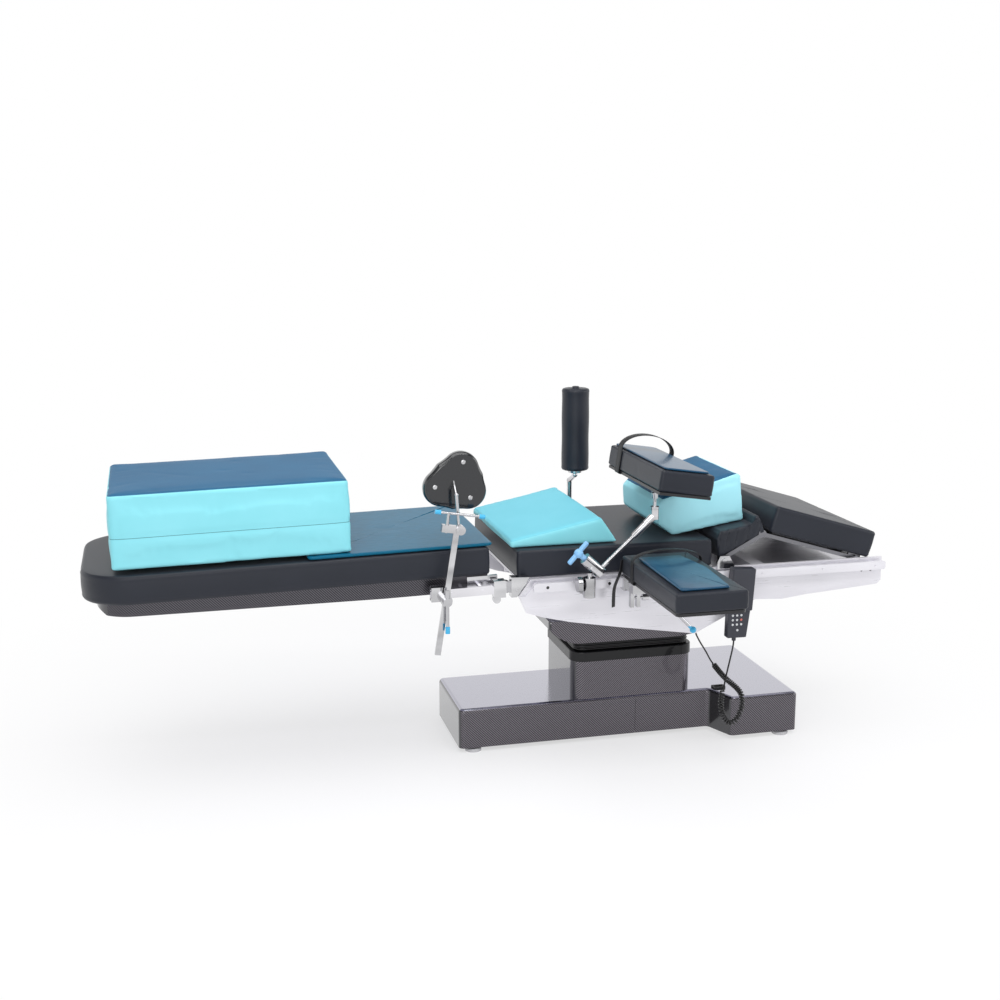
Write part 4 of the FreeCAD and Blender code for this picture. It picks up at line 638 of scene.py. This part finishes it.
def inward(outline):
    """Unit normals of a closed outline, pointing to its inside."""
    ahead, behind = np.roll(outline, -1, axis=0), np.roll(outline, 1, axis=0)
    tangent = ahead - behind
    tangent /= np.linalg.norm(tangent, axis=1)[:, None]
    area = np.sum(outline[:, 0] * ahead[:, 1] - ahead[:, 0] * outline[:, 1])
    turn = 1 if area > 0 else -1
    return turn * np.stack([-tangent[:, 1], tangent[:, 0]], axis=1)


# %% Pad surface


def with_heights(rings, heights):
    """Flat rings, each set at its own height."""
    return np.concatenate([rings, np.broadcast_to(heights[:, None, None], rings.shape[:2] + (1,))], axis=2)


def pad_grid(outline, low, high, edge, crown=(0, 0), belly=0.0, welt=0.8, rings=14, sides=12):
    """Rings from the middle of the lower face, round its edge, up the side and over the top.

    Each ring is the outline moved inwards by a distance and set at a height. On the faces the
    ring shrinks to the middle while the height rises by the crown.
    """
    normal = inward(outline)
    middle = outline.mean(axis=0)
    bend = np.linspace(0, math.pi / 2, 7)
    inset_edge = edge * (1 - np.sin(bend))
    rise_edge = edge * (1 - np.cos(bend))
    share = np.linspace(0, 1, sides + 2)[1:-1]
    side_height = low + edge + share * (high - low - 2 * edge)
    side_inset = -belly * np.sin(share * math.pi)
    inset = np.concatenate([inset_edge, side_inset, inset_edge[::-1]])
    height = np.concatenate([low + rise_edge, side_height, high - rise_edge[::-1]])
    for seam in (low + edge, high - edge):
        inset = inset - welt * np.exp(-((height - seam) / 2.2) ** 2)
    wall = outline[None] + normal[None] * inset[:, None, None]
    shrink = np.linspace(0, 1, rings) ** 0.8
    faces = []
    for rim, level, lift in ((wall[0], height[0], -crown[0]), (wall[-1], height[-1], crown[1])):
        flat = middle + (rim - middle)[None] * shrink[:, None, None]
        rise = level + lift * (1 - shrink ** 2.4)
        faces.append(with_heights(flat, rise))
    return np.concatenate([faces[0][:-1], with_heights(wall, height), faces[1][::-1][1:]])


def set_up(grid, plane):
    """Put outline and height onto the table's axes: plane xy has its height along Z, xz along Y."""
    if plane == "xy":
        return grid
    return np.stack([grid[..., 0], grid[..., 2], grid[..., 1]], axis=-1)


def press_creases(grid, seed, count, depth, length, width):
    """Shallow valleys: each is a line with soft ends that pushes points towards the pad's middle."""
    draw = np.random.default_rng(seed)
    flat = grid.reshape(-1, 3)
    low, high = flat.min(axis=0), flat.max(axis=0)
    middle = (low + high) / 2
    push = np.zeros(len(flat))
    for _ in range(count):
        centre = flat[draw.integers(len(flat))]
        direction = draw.normal(size=3)
        direction /= np.linalg.norm(direction)
        reach = length * draw.uniform(0.5, 1.4)
        wide = width * draw.uniform(0.6, 1.5)
        deep = draw.uniform(0.4, 1)
        offset = flat - centre
        along = offset @ direction
        away = np.linalg.norm(offset - along[:, None] * direction, axis=1)
        push += deep * np.exp(-(away / wide) ** 2) * np.exp(-(along / reach) ** 4)
    towards = middle - flat
    towards /= np.linalg.norm(towards, axis=1)[:, None] + 1e-9
    return (flat + towards * (depth * np.clip(push, 0, 1.5))[:, None]).reshape(grid.shape)


def rotated(grid, degrees, centre):
    """Turn about a line along Y through a point in the XZ plane; positive takes +X down."""
    angle = math.radians(degrees)
    dx, dz = grid[..., 0] - centre[0], grid[..., 2] - centre[1]
    return np.stack([centre[0] + dx * math.cos(angle) + dz * math.sin(angle), grid[..., 1],
                     centre[1] - dx * math.sin(angle) + dz * math.cos(angle)], axis=-1)


def finish_piece(piece, body, material, node=None):
    """What every new piece needs: its body, finish, slot and the node that it stands for."""
    piece.data.materials.append(material)
    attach(piece, body)
    if node:
        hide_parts(node)
    return piece


def cover(name, grid, body, node):
    """A slate cover over one of the CAD's foam blocks."""
    return finish_piece(surface(name, grid), body, SLATE, node)


KNEE = (-421.0, 525.0)
LEG_SLOPE = -1.24
PIVOT = (222.0, 565.0)
BRIDGE_SHORT = 140.0
RIDGE_ANGLE = 27.7
RIDGE = (PIVOT[0] + BRIDGE_SHORT * math.cos(math.radians(RIDGE_ANGLE)),
         PIVOT[1] + BRIDGE_SHORT * math.sin(math.radians(RIDGE_ANGLE)))
LONG_SLOPE = math.degrees(math.asin((RIDGE[1] - 539.8) / 314.0))
PAD_HALF = 265.0

# %% [markdown]
# ### Mattresses
# The leg, seat and bridge mattresses are firm foam in slate cloth, welted along the upper edge.

# %% Mattresses


def leg_mattress():
    outline = rectangle(-1554, -465, -PAD_HALF, PAD_HALF, (130, 10, 10, 130), 9)
    grid = set_up(pad_grid(outline, 562.8, 641.5, 9, (0, 1.0), 1.5), "xy")
    grid = rotated(press_creases(grid, 3, 26, 0.9, 60, 10), LEG_SLOPE, KNEE)
    return cover("leg_mattress_cover", grid, "leg_section", "leg_mattress")


def seat_mattress():
    outline = rectangle(-387, 189, -PAD_HALF, PAD_HALF, 8, 8)
    grid = set_up(pad_grid(outline, 545.4, 624.4, 8, (0, 0.7), 1.5), "xy")
    grid = press_creases(grid, 5, 18, 0.8, 50, 9)
    return cover("seat_mattress_cover", grid, "table_frame", "seat_mattress")


def long_bridge_mattress():
    x0, z0 = RIDGE
    outline = rectangle(x0 + 20, x0 + 352, -PAD_HALF, PAD_HALF, 8, 8)
    grid = set_up(pad_grid(outline, z0 + 10.6, z0 + 89.5, 8, (0, 1.2), 1.5), "xy")
    top = grid[..., 2] > z0 + 86
    for line in (-92.0, 92.0):
        grid[..., 2] -= np.where(top, 2.2 * np.exp(-((grid[..., 1] - line) / 3.0) ** 2), 0)
    grid = rotated(press_creases(grid, 8, 20, 0.8, 60, 9), LONG_SLOPE, (x0, z0))
    return cover("long_bridge_mattress_cover", grid, "bridge_long", "bridge_b_mattress")


def short_bridge_mattress():
    """The raised cover is gathered into upright folds on its near and far faces."""
    corners = [(213, 566), (204, 622), (211, 636), (219, 644.5), (317, 660), (322, 680), (330, 686),
               (341, 671), (352, 636)]
    outline = rounded_outline(corners, 3.5, 2.5)
    grid = set_up(pad_grid(outline, -PAD_HALF, PAD_HALF, 7, (0, 0), 0.6, 0.4, 30, 40), "xz")
    x, z = grid[..., 0], grid[..., 2]
    near = np.clip((np.abs(grid[..., 1]) - 235) / 25, 0, 1)
    slant = x - 0.22 * (z - 600)
    folds = np.abs(np.sin(slant / 8.5 + 0.9 * np.sin(slant / 31))) ** 0.7
    fade = np.clip((z - 575) / 40, 0.15, 1)
    grid[..., 1] -= np.sign(grid[..., 1]) * near * (1 - folds) * 5.0 * fade
    return cover("short_bridge_mattress_cover", grid, "bridge_short", "bridge_a_mattress")


for made in (leg_mattress(), seat_mattress(), long_bridge_mattress(), short_bridge_mattress()):
    print(made.name, len(made.data.polygons))

# %% [markdown]
# ### Blue cushions
# The positioning cushions are cut foam in turquoise cloth; the leg and head cushions have a deep
# blue top. The wedge's top is the turquoise in painted shade, and the head cushion's sides are a
# paler turquoise in painted light. The leg cushion has a cross seam on its near side.

# %% Cushions


def two_tone(name, tilt, level, sides=TURQUOISE, lids=DEEP_BLUE, seam=-BEYOND / MM):
    """Sides of one colour and a lid of another: the lid is what lies above a slanting plane.

    A sewn seam is a dark line on the sides, at its own height over the same plane.
    """
    finish = cover_finish(name, TURQUOISE[1], TURQUOISE[0], 0.55, 700, 0.2)
    x, _, z = finish.place()
    angle = math.radians(tilt)
    height = x * math.sin(angle) + z * math.cos(angle)
    above = height > level * MM
    sewn = abs(height - seam * MM) < 0.8 * MM
    side = finish.blend(sewn, finish.blend(finish.noise(9, 3.0), *sides), (0.05, 0.22, 0.27))
    lid = finish.blend(finish.noise(9, 3.0), *lids)
    finish.color(finish.blend(above, side, lid))
    return finish.material


def above_line(first, second, margin):
    """Tilt and level of the plane through two points of the profile, lowered by a margin."""
    angle = math.atan2(first[1] - second[1], second[0] - first[0])
    return math.degrees(angle), first[0] * math.sin(angle) + first[1] * math.cos(angle) - margin


def remeshed(piece, voxel):
    """The piece's mesh cut anew into even cells."""
    modifier = piece.modifiers.new("remesh", "REMESH")
    modifier.mode = "VOXEL"
    modifier.voxel_size = voxel * MM
    view = bpy.context.evaluated_depsgraph_get()
    mesh = bpy.data.meshes.new_from_object(piece.evaluated_get(view))
    piece.modifiers.remove(modifier)
    return mesh


CLOTH_FRAMES = 20


def plumped(piece, voxel, cap):
    """Swell a cover as cloth under air pressure without gravity.

    It stays flat where it lies on something, and no point moves by more than the cap.
    """
    piece.data = remeshed(piece, voxel)
    count = len(piece.data.vertices)
    rest = np.zeros(count * 3)
    piece.data.vertices.foreach_get("co", rest)
    facing = np.zeros(count * 3)
    piece.data.vertices.foreach_get("normal", facing)
    cloth = piece.modifiers.new("cloth", "CLOTH")
    cloth.settings.quality = 4
    cloth.settings.use_pressure = True
    cloth.settings.uniform_pressure_force = 4.0
    cloth.settings.effector_weights.gravity = 0
    cloth.point_cache.frame_end = CLOTH_FRAMES
    for frame_number in range(1, CLOTH_FRAMES + 1):
        bpy.context.scene.frame_set(frame_number)
    view = bpy.context.evaluated_depsgraph_get()
    swollen = np.zeros(count * 3)
    piece.evaluated_get(view).data.vertices.foreach_get("co", swollen)
    piece.modifiers.remove(cloth)
    bpy.context.scene.frame_set(1)
    rest, swollen, facing = [part.reshape(-1, 3) for part in (rest, swollen, facing)]
    move = swollen - rest
    length = np.linalg.norm(move, axis=1)[:, None] + 1e-9
    limit = cap * MM * np.tanh(length / (cap * MM))
    free = np.clip(1.0 + 1.6 * facing[:, 2], 0, 1)[:, None]
    piece.data.vertices.foreach_set("co", (rest + move / length * limit * free).ravel())
    piece.data.polygons.foreach_set("use_smooth", np.ones(len(piece.data.polygons), dtype=bool))
    piece.data.update()
    finer = piece.modifiers.new("finer", "SUBSURF")
    finer.levels = 1
    finer.render_levels = 1
    print(piece.name, "swelled by up to", round(float(limit.max()) / MM, 1), "mm")
    return piece


def leg_cushion():
    low, high = 653.4, 855.6
    left, right, near, far = -1471.0, -841.0, -251.5, 221.5
    outline = rectangle(left, right, near, far, 9, 7)
    grid = set_up(pad_grid(outline, low, high, 7, (0, 1.2), 0.5, 1.2, 24, 40), "xy")
    seam = low + 0.42 * (high - low)
    pull = np.exp(-((grid[..., 2] - seam) / 4.5) ** 2)
    middle = np.array([(left + right) / 2, (near + far) / 2])
    away = grid[..., :2] - middle
    away /= np.linalg.norm(away, axis=2)[..., None] + 1e-9
    grid[..., :2] -= away * (3.5 * pull)[..., None]
    grid = rotated(press_creases(grid, 12, 40, 2.0, 90, 13), LEG_SLOPE, KNEE)
    piece = plumped(surface("leg_cushion_cover", grid), 7.0, 2.2)
    angle = math.radians(LEG_SLOPE)
    level = KNEE[0] * math.sin(angle) + KNEE[1] * math.cos(angle) + high - 4.5 - KNEE[1]
    tone = two_tone("leg_cushion_cloth", LEG_SLOPE, level, seam=level - (high - 4.5 - seam))
    return finish_piece(piece, "leg_section", tone, "leg_cushion")


def prism_cushion(name, corners, radii, near, far, node, seed, creases, lid, sides, lids):
    """A cushion with one cut profile along the table's width."""
    outline = rounded_outline(corners, radii, 5)
    grid = set_up(pad_grid(outline, near, far, 6, (1.2, 1.2), 0.5, 1.0, 26, 50), "xz")
    grid = press_creases(grid, seed, creases, 0.8, 70, 11)
    piece = plumped(surface(name, grid), 6.0, 1.8)
    tone = two_tone(node + "_cloth", *above_line(*lid, 4.0), sides, lids)
    return finish_piece(piece, "table_frame", tone, node)


WEDGE = [(-402, 626.4), (-85, 626.4), (-135.5, 700), (-401.5, 646.5)]
HEAD_REST = [(93.5, 627.4), (313, 661.9), (299.5, 792.5), (290.5, 800.5), (221, 783.8), (64, 739), (47, 720),
             (49, 661)]
for made in (leg_cushion(),
             # The wedge's top is the turquoise in painted shade.
             prism_cushion("wedge_cushion_cover", WEDGE, (5, 4, 6, 5), -238, 228, "wedge_cushion", 21, 14,
                           (WEDGE[3], WEDGE[2]), TURQUOISE, TURQUOISE_PAINTED_SHADE),
             # The head cushion's sides are a paler turquoise in painted light.
             prism_cushion("head_cushion_cover", HEAD_REST, 5, -203, 123, "head_cushion", 22, 10,
                           (HEAD_REST[5], HEAD_REST[4]), TURQUOISE_PAINTED_LIGHT, DEEP_BLUE)):
    print(made.name, len(made.data.polygons))

# %% Gel mat


def gel_mat():
    outline = rectangle(-962.5, -456, -261, 261, 12, 9)
    grid = set_up(pad_grid(outline, 644.2, 652.4, 3, (0, 0.2), 0.4, 0.2, 16, 6), "xy")
    grid = rotated(press_creases(grid, 31, 20, 0.8, 80, 16), LEG_SLOPE, KNEE)
    piece = surface("gel_mat_film", grid)
    return finish_piece(piece, "leg_section", MAT_GEL, "gel_mat")


gel_mat()

# %% [markdown]
# ### Arm boards
# Each arm board carries a slate pad, a glossy gel pad and straps.

# %% Arm board pads
UPPER_ROLL = 8.5
UPPER_PIVOT = (-16.0, 794.0)
UPPER_PLAN = [(-40, -432), (116, -432), (116, 4), (102, 18), (-26, 18), (-40, 4)]
LOWER_PLAN = [(-108, -758), (88, -758), (88, -332), (-108, -332)]


def shrunk(plan, distance):
    """The plan's corners moved inwards by a distance, towards the plan's middle."""
    plan = np.array(plan, float)
    middle = plan.mean(axis=0)
    return middle + (plan - middle) * (1 - distance / np.abs(plan - middle).max(axis=0))


def upper_pads():
    outline = rounded_outline(shrunk(UPPER_PLAN, 1.0), 7, 6)
    grid = set_up(pad_grid(outline, 802.6, 861.3, 6, (0, 0.8), 0.9, 0.9), "xy")
    grid = rotated(grid, UPPER_ROLL, UPPER_PIVOT)
    grid = press_creases(grid, 41, 16, 0.9, 50, 8)
    pad = cover("upper_arm_pad_cover", grid, "upper_board", "upper_pad")
    outline = rounded_outline(shrunk(UPPER_PLAN, 14.0), 8, 6)
    grid = set_up(pad_grid(outline, 862.7, 868.4, 2.5, (0, 0.5), 0.3, 0.2), "xy")
    grid = rotated(grid, UPPER_ROLL, UPPER_PIVOT)
    gel = finish_piece(surface("upper_gel_pad", grid), "upper_board", GEL)
    return pad, gel


def lower_pads():
    outline = rounded_outline(shrunk(LOWER_PLAN, 1.0), 8, 6)
    grid = set_up(pad_grid(outline, 560.6, 611.4, 6, (0, 0.8), 1.2, 0.9), "xy")
    grid = press_creases(grid, 43, 16, 0.9, 50, 8)
    pad = cover("lower_arm_pad_cover", grid, "lower_board", "lower_pad")
    outline = rounded_outline([(-88, -738), (44, -735), (60, -540), (40, -400), (-82, -400)], 8, 6)
    grid = set_up(pad_grid(outline, 613.2, 619.6, 2.5, (0, 0.5), 0.3, 0.2), "xy")
    gel = finish_piece(surface("lower_gel_pad", grid), "lower_board", GEL)
    return pad, gel


upper_pads()
lower_pads()

# %% [markdown]
# ### Back roller and pelvic pad
# The roller is foam on a post: a turned profile, with a seam round each end. The pelvic pad is a
# rounded triangle of black foam.

# %% Roller and pelvic pad


def turned_piece(name, centre, profile, around=96):
    """A profile of radius and height, carried round an upright line."""
    angle = np.linspace(0, 2 * math.pi, around, endpoint=False)
    radius, height = np.array(profile, float).T
    spoke = np.stack([np.cos(angle), np.sin(angle)], axis=1)
    rings = np.array(centre, float) + radius[:, None, None] * spoke
    return surface(name, with_heights(rings, height))


def roller():
    r, low, high = 42.6, 745.3, 1003.0
    profile = [(9, low), (r - 6, low), (r - 2, low + 1.6), (r, low + 5), (r + 0.6, low + 8), (r, low + 12)]
    profile += [(r + 0.5 * math.sin(k), low + 12 + k * (high - low - 24) / 12) for k in range(1, 12)]
    profile += [(r, high - 12), (r + 0.6, high - 8), (r, high - 5), (r - 2, high - 1.6), (r - 6, high),
                (12, high), (11, high + 1), (11, high + 5), (9, high + 6.5), (0, high + 6.8)]
    piece = turned_piece("back_roller_cover", (-62, 262), profile)
    return finish_piece(piece, "back_roller", SLATE, "back_roller")


roller()


PAD_CORNER = 49.4              # radius of the pelvic pad's corners


def pelvic_pad():
    """The outline is the hull of three circles, with its straight sides bowed out a little."""
    centres = np.array([(-596, 806), (-540, 856), (-520, 795)], float)
    angle = np.linspace(0, 2 * math.pi, 180, endpoint=False)
    spoke = np.stack([np.cos(angle), np.sin(angle)], axis=1)
    support = (centres @ spoke.T).argmax(axis=0)
    outline = centres[support] + PAD_CORNER * spoke
    ring = np.concatenate([outline, outline[:1]])
    along = np.concatenate([[0], np.cumsum(np.linalg.norm(np.diff(ring, axis=0), axis=1))])
    marks = np.linspace(0, along[-1], 120, endpoint=False)
    outline = np.stack([np.interp(marks, along, ring[:, k]) for k in range(2)], axis=1)
    between = np.linalg.norm(outline[:, None] - centres[None], axis=2).min(axis=1) - PAD_CORNER
    outline -= inward(outline) * (0.35 * between)[:, None]
    grid = set_up(pad_grid(outline, -247.6, -210.5, 10, (0, 1), 1.0, 0.6), "xz")
    piece = surface("pelvic_pad_foam", grid)
    return finish_piece(piece, "pelvic_pad", GLOSS_BLACK, "pelvic_pad")


pelvic_pad()

# %% [markdown]
# ### Straps
# Flat webbing: one slack loop round the upper arm board, a narrow one round the lower board and its
# loose end, which hangs beside the frame.

# %% Straps


def ribbon(name, path, width, thick, side, closed):
    """A thin rectangle carried along a path in millimetres; side is the direction of its width."""
    path = np.array(path, float)
    if closed:
        tangent = np.roll(path, -1, axis=0) - np.roll(path, 1, axis=0)
    else:
        tangent = np.gradient(path, axis=0)
    side = np.array(side, float)
    out = np.cross(tangent, side)
    out /= np.linalg.norm(out, axis=1)[:, None]
    section = [(-0.5, -0.4), (-0.49, -0.5), (0.49, -0.5), (0.5, -0.4),
               (0.5, 0.4), (0.49, 0.5), (-0.49, 0.5), (-0.5, 0.4)]
    grid = np.stack([path + side * width * a + out * thick * b for a, b in section], axis=1)
    if not closed:
        ends = [np.repeat(path[k][None, None], len(section), axis=1) for k in (0, -1)]
        grid = np.concatenate([ends[0], grid, ends[1]])
    return surface(name, grid, wrap_rows=closed)


def strap_loop(left, right, bottom, top, arch, y):
    """A closed loop in an upright plane: flat below, straight up the sides and an arch above."""
    middle, half = (left + right) / 2, (right - left) / 2
    turn = np.linspace(math.pi, 0, 48)
    over = np.stack([middle + half * np.cos(turn), top + arch * np.sin(turn)], axis=1)
    below = rounded_outline([(left, bottom), (left, top + 40), (right, top + 40), (right, bottom)], 5, 6)
    below = below[below[:, 1] < top]
    order = np.argsort(np.arctan2(below[:, 0] - middle, top - below[:, 1]))[::-1]
    ring = np.concatenate([over, below[order]])
    return np.stack([ring[:, 0], np.full(len(ring), y), ring[:, 1]], axis=1)


def straps():
    loop = rotated(strap_loop(-42.4, 118.4, 792.9, 868, 46, -86), UPPER_ROLL, UPPER_PIVOT)
    upper = ribbon("upper_board_strap", loop, 34, 1.8, ACROSS, True)
    loop = strap_loop(-109.4, 89.4, 550.9, 614, 30, -424)
    lower = ribbon("lower_board_strap", loop, 20, 1.6, ACROSS, True)
    hang = [(-109.6, -346, 602), (-111, -345, 580), (-116, -340, 556), (-122, -333, 535.8),
            (-126.1, -327, 514.6), (-126.2, -324, 489.2), (-125.7, -323, 461.3)]
    end = ribbon("strap_end", smooth_route(hang) / MM, 15, 1.6, (0.8, 0.6, 0), False)
    bodies = ((upper, "upper_board"), (lower, "lower_board"), (end, "lower_board"))
    return [finish_piece(piece, body, WEBBING) for piece, body in bodies]


print([made.name for made in straps()])

# %% [markdown]
# ### Keys and fasteners
# Each is a low dome on a face of the CAD. They are gathered by body, so that they move with it.

# %% Keys and fasteners


def dome(centre, radius, height, axis, around=20):
    """A flat-topped button with a rounded rim, standing out of a face along an axis."""
    profile = np.array([(1.0, -0.4), (1.0, 0.5), (0.92, 0.86), (0.8, 1.0), (0.0, 1.04)])
    axis = np.array(axis, float)
    one = np.array([0, 0, 1.0]) if abs(axis[2]) < 0.9 else np.array([1.0, 0, 0])
    one = one - axis * one.dot(axis)
    one /= np.linalg.norm(one)
    two = np.cross(axis, one)
    turn = np.linspace(0, 2 * math.pi, around, endpoint=False)
    ring = np.cos(turn)[:, None] * one + np.sin(turn)[:, None] * two
    grid = (np.array(centre, float) + ring[None] * (profile[:, 0] * radius)[:, None, None]
            + axis * (profile[:, 1] * height)[:, None, None])
    return surface("dome", grid)


def buttons(name, places, radius, height, axis, body, material):
    whole = joined(name, [dome(place, radius, height, axis) for place in places])
    return finish_piece(whole, body, material)


NEAR = (0, -1, 0)
KEY_COLUMNS, KEY_ROWS = (232, 245, 258), (412, 398.5, 385)
key_places = [(x, -330, z) for z in KEY_ROWS for x in KEY_COLUMNS] + [(247, -330, 368)]
red_key = key_places.pop(5)
buttons("handset_keys", key_places, 3.4, 1.0, NEAR, "table_frame", KEYS)
buttons("handset_red_key", [red_key], 3.4, 1.0, NEAR, "table_frame", RED_KEY)
buttons("pelvic_plate_screws", [(-537, -252, 879), (-616, -252, 813), (-518, -252, 779)], 6.5, 2.0, NEAR,
        "pelvic_pad", SATIN)
for side_name, side in (("near", NEAR), ("far", ACROSS)):
    # These lie flush, because the clamps slide over them.
    rail_places = [(x, side[1] * 300, 523.5) for x in (-310, -130, 50)]
    buttons("rail_screws_" + side_name, rail_places, 4.6, 0.2, side, "table_frame", GLOSS_BLACK)
buttons("frame_end_screws", [(660, -275, 504.4), (689.3, -275, 504.4)], 3.2, 0.8, NEAR, "table_frame",
        GLOSS_BLACK)

# %% [markdown]
# ## The gaiter
# Between the trim ring and the upper casing is a rubber gaiter. It is folded flat here and rises
# with the column.

# %% Gaiter


GAITER_LOW, GAITER_HIGH = 278.2, 315.0
FOLD_HEIGHT, FOLD_DEPTH = 9.2, 4.0


def gaiter():
    """Zigzag folds round the casing's outline, drawn out along the height."""
    outline = rectangle(-181, 179, -144, 144, 32, 9)
    height = np.linspace(GAITER_LOW, GAITER_HIGH, 29)
    fold = FOLD_DEPTH * np.abs(np.mod((height - GAITER_LOW) / FOLD_HEIGHT, 1) - 0.5) * 2
    wall = outline[None] + inward(outline)[None] * fold[:, None, None]
    piece = surface("column_gaiter_folds", with_heights(wall, height))
    piece.data.materials.append(GAITER)
    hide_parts("column_bellows")
    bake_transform(piece)
    return piece


gaiter()

# %% [markdown]
# ## Light and floor
# A pale studio: a wide soft lamp overhead, a fill from the camera's side, a narrow strip that draws
# the edges, a lamp at the head end and an even sky. The floor turns to plain white away from the
# table, so no horizon shows.

# %% Light and floor


def area_light(name, place, aim, size, power):
    data = bpy.data.lights.new(name, "AREA")
    data.shape = "RECTANGLE"
    data.size, data.size_y = size
    data.energy = power
    lamp = bpy.data.objects.new(name, data)
    direction = Vector(aim) - Vector(place)
    lamp.matrix_world = Matrix.Translation(place) @ direction.to_track_quat("-Z", "Y").to_matrix().to_4x4()
    bpy.context.scene.collection.objects.link(lamp)
    return lamp


SKY_FILL = 0.6                 # the sky's strength as a source of light
CEILING_SHADE = 0.9            # how much of the white the ceiling takes out of reflections


def studio_world():
    """White to the camera and to reflections, softer as a source of light.

    Reflections find a dark ceiling: their white fades between the heights 0.35 and 0.65.
    """
    world = bpy.data.worlds.new("studio")
    world.use_nodes = True
    bpy.context.scene.world = world
    sky = Network(world.node_tree)
    background = sky.tree.nodes["Background"]
    background.inputs["Color"].default_value = (1.0, 1.0, 1.0, 1)
    camera_ray = sky.node("ShaderNodeLightPath", {}, {}, "Is Camera Ray")
    glossy_ray = Signal(sky, camera_ray.socket.node.outputs["Is Glossy Ray"])
    seen = sky.node("ShaderNodeMath", {"operation": "MAXIMUM"}, [camera_ray, glossy_ray])
    strength = sky.node("ShaderNodeMapRange", {}, {"Value": seen, "To Min": SKY_FILL, "To Max": 1.0})
    direction = sky.node("ShaderNodeTexCoord", {}, {}, "Generated")
    height = sky.node("ShaderNodeSeparateXYZ", {}, [direction], "Z")
    ceiling = sky.node("ShaderNodeMapRange", {},
                       {"Value": height, "From Min": 0.35, "From Max": 0.65, "To Max": CEILING_SHADE})
    left = strength - glossy_ray * ceiling
    sky.tree.links.new(left.socket, background.inputs["Strength"])
    return world


def floor():
    """A wide disc whose colour fades to white light with distance from the table."""
    profile = [(radius, 0) for radius in (0, 1500, 3000, 8000, 26000)]
    piece = turned_piece("studio_floor", (-400, 0), profile)
    finish = Finish("studio_floor", (0.84, 0.84, 0.87), 0.6)
    x, y, _ = finish.place()
    far = ((x + 0.4) * (x + 0.4) + y * y) ** 0.5
    share = finish.node("ShaderNodeMapRange", {"interpolation_type": "SMOOTHSTEP"},
                        {"Value": far, "From Min": 0.5, "From Max": 2.2, "To Min": 0.6, "To Max": 1.0})
    glow = finish.node("ShaderNodeEmission", {}, {"Color": (1, 1, 1, 1), "Strength": 1.0})
    matt = Signal(finish, finish.shader.outputs[0])
    mixed = finish.node("ShaderNodeMixShader", {}, [share, matt, glow])
    output = finish.tree.nodes["Material Output"]
    finish.tree.links.new(mixed.socket, output.inputs["Surface"])
    piece.data.materials.append(finish.material)
    return piece


studio_world()
floor()
area_light("overhead", (-0.6, -0.6, 3.6), (-0.3, 0, 0.5), (4.5, 3.2), 95)
area_light("front_fill", (-1.8, -4.6, 2.0), (-0.3, 0, 0.6), (3.0, 2.2), 42)
area_light("edge_strip", (-0.4, -3.4, 4.4), (0, 0, 0.2), (6.0, 0.25), 45)
area_light("head_end", (3.6, -1.2, 2.0), (0.2, 0, 0.6), (2.0, 2.0), 26)
bpy.context.scene.view_settings.view_transform = "Standard"
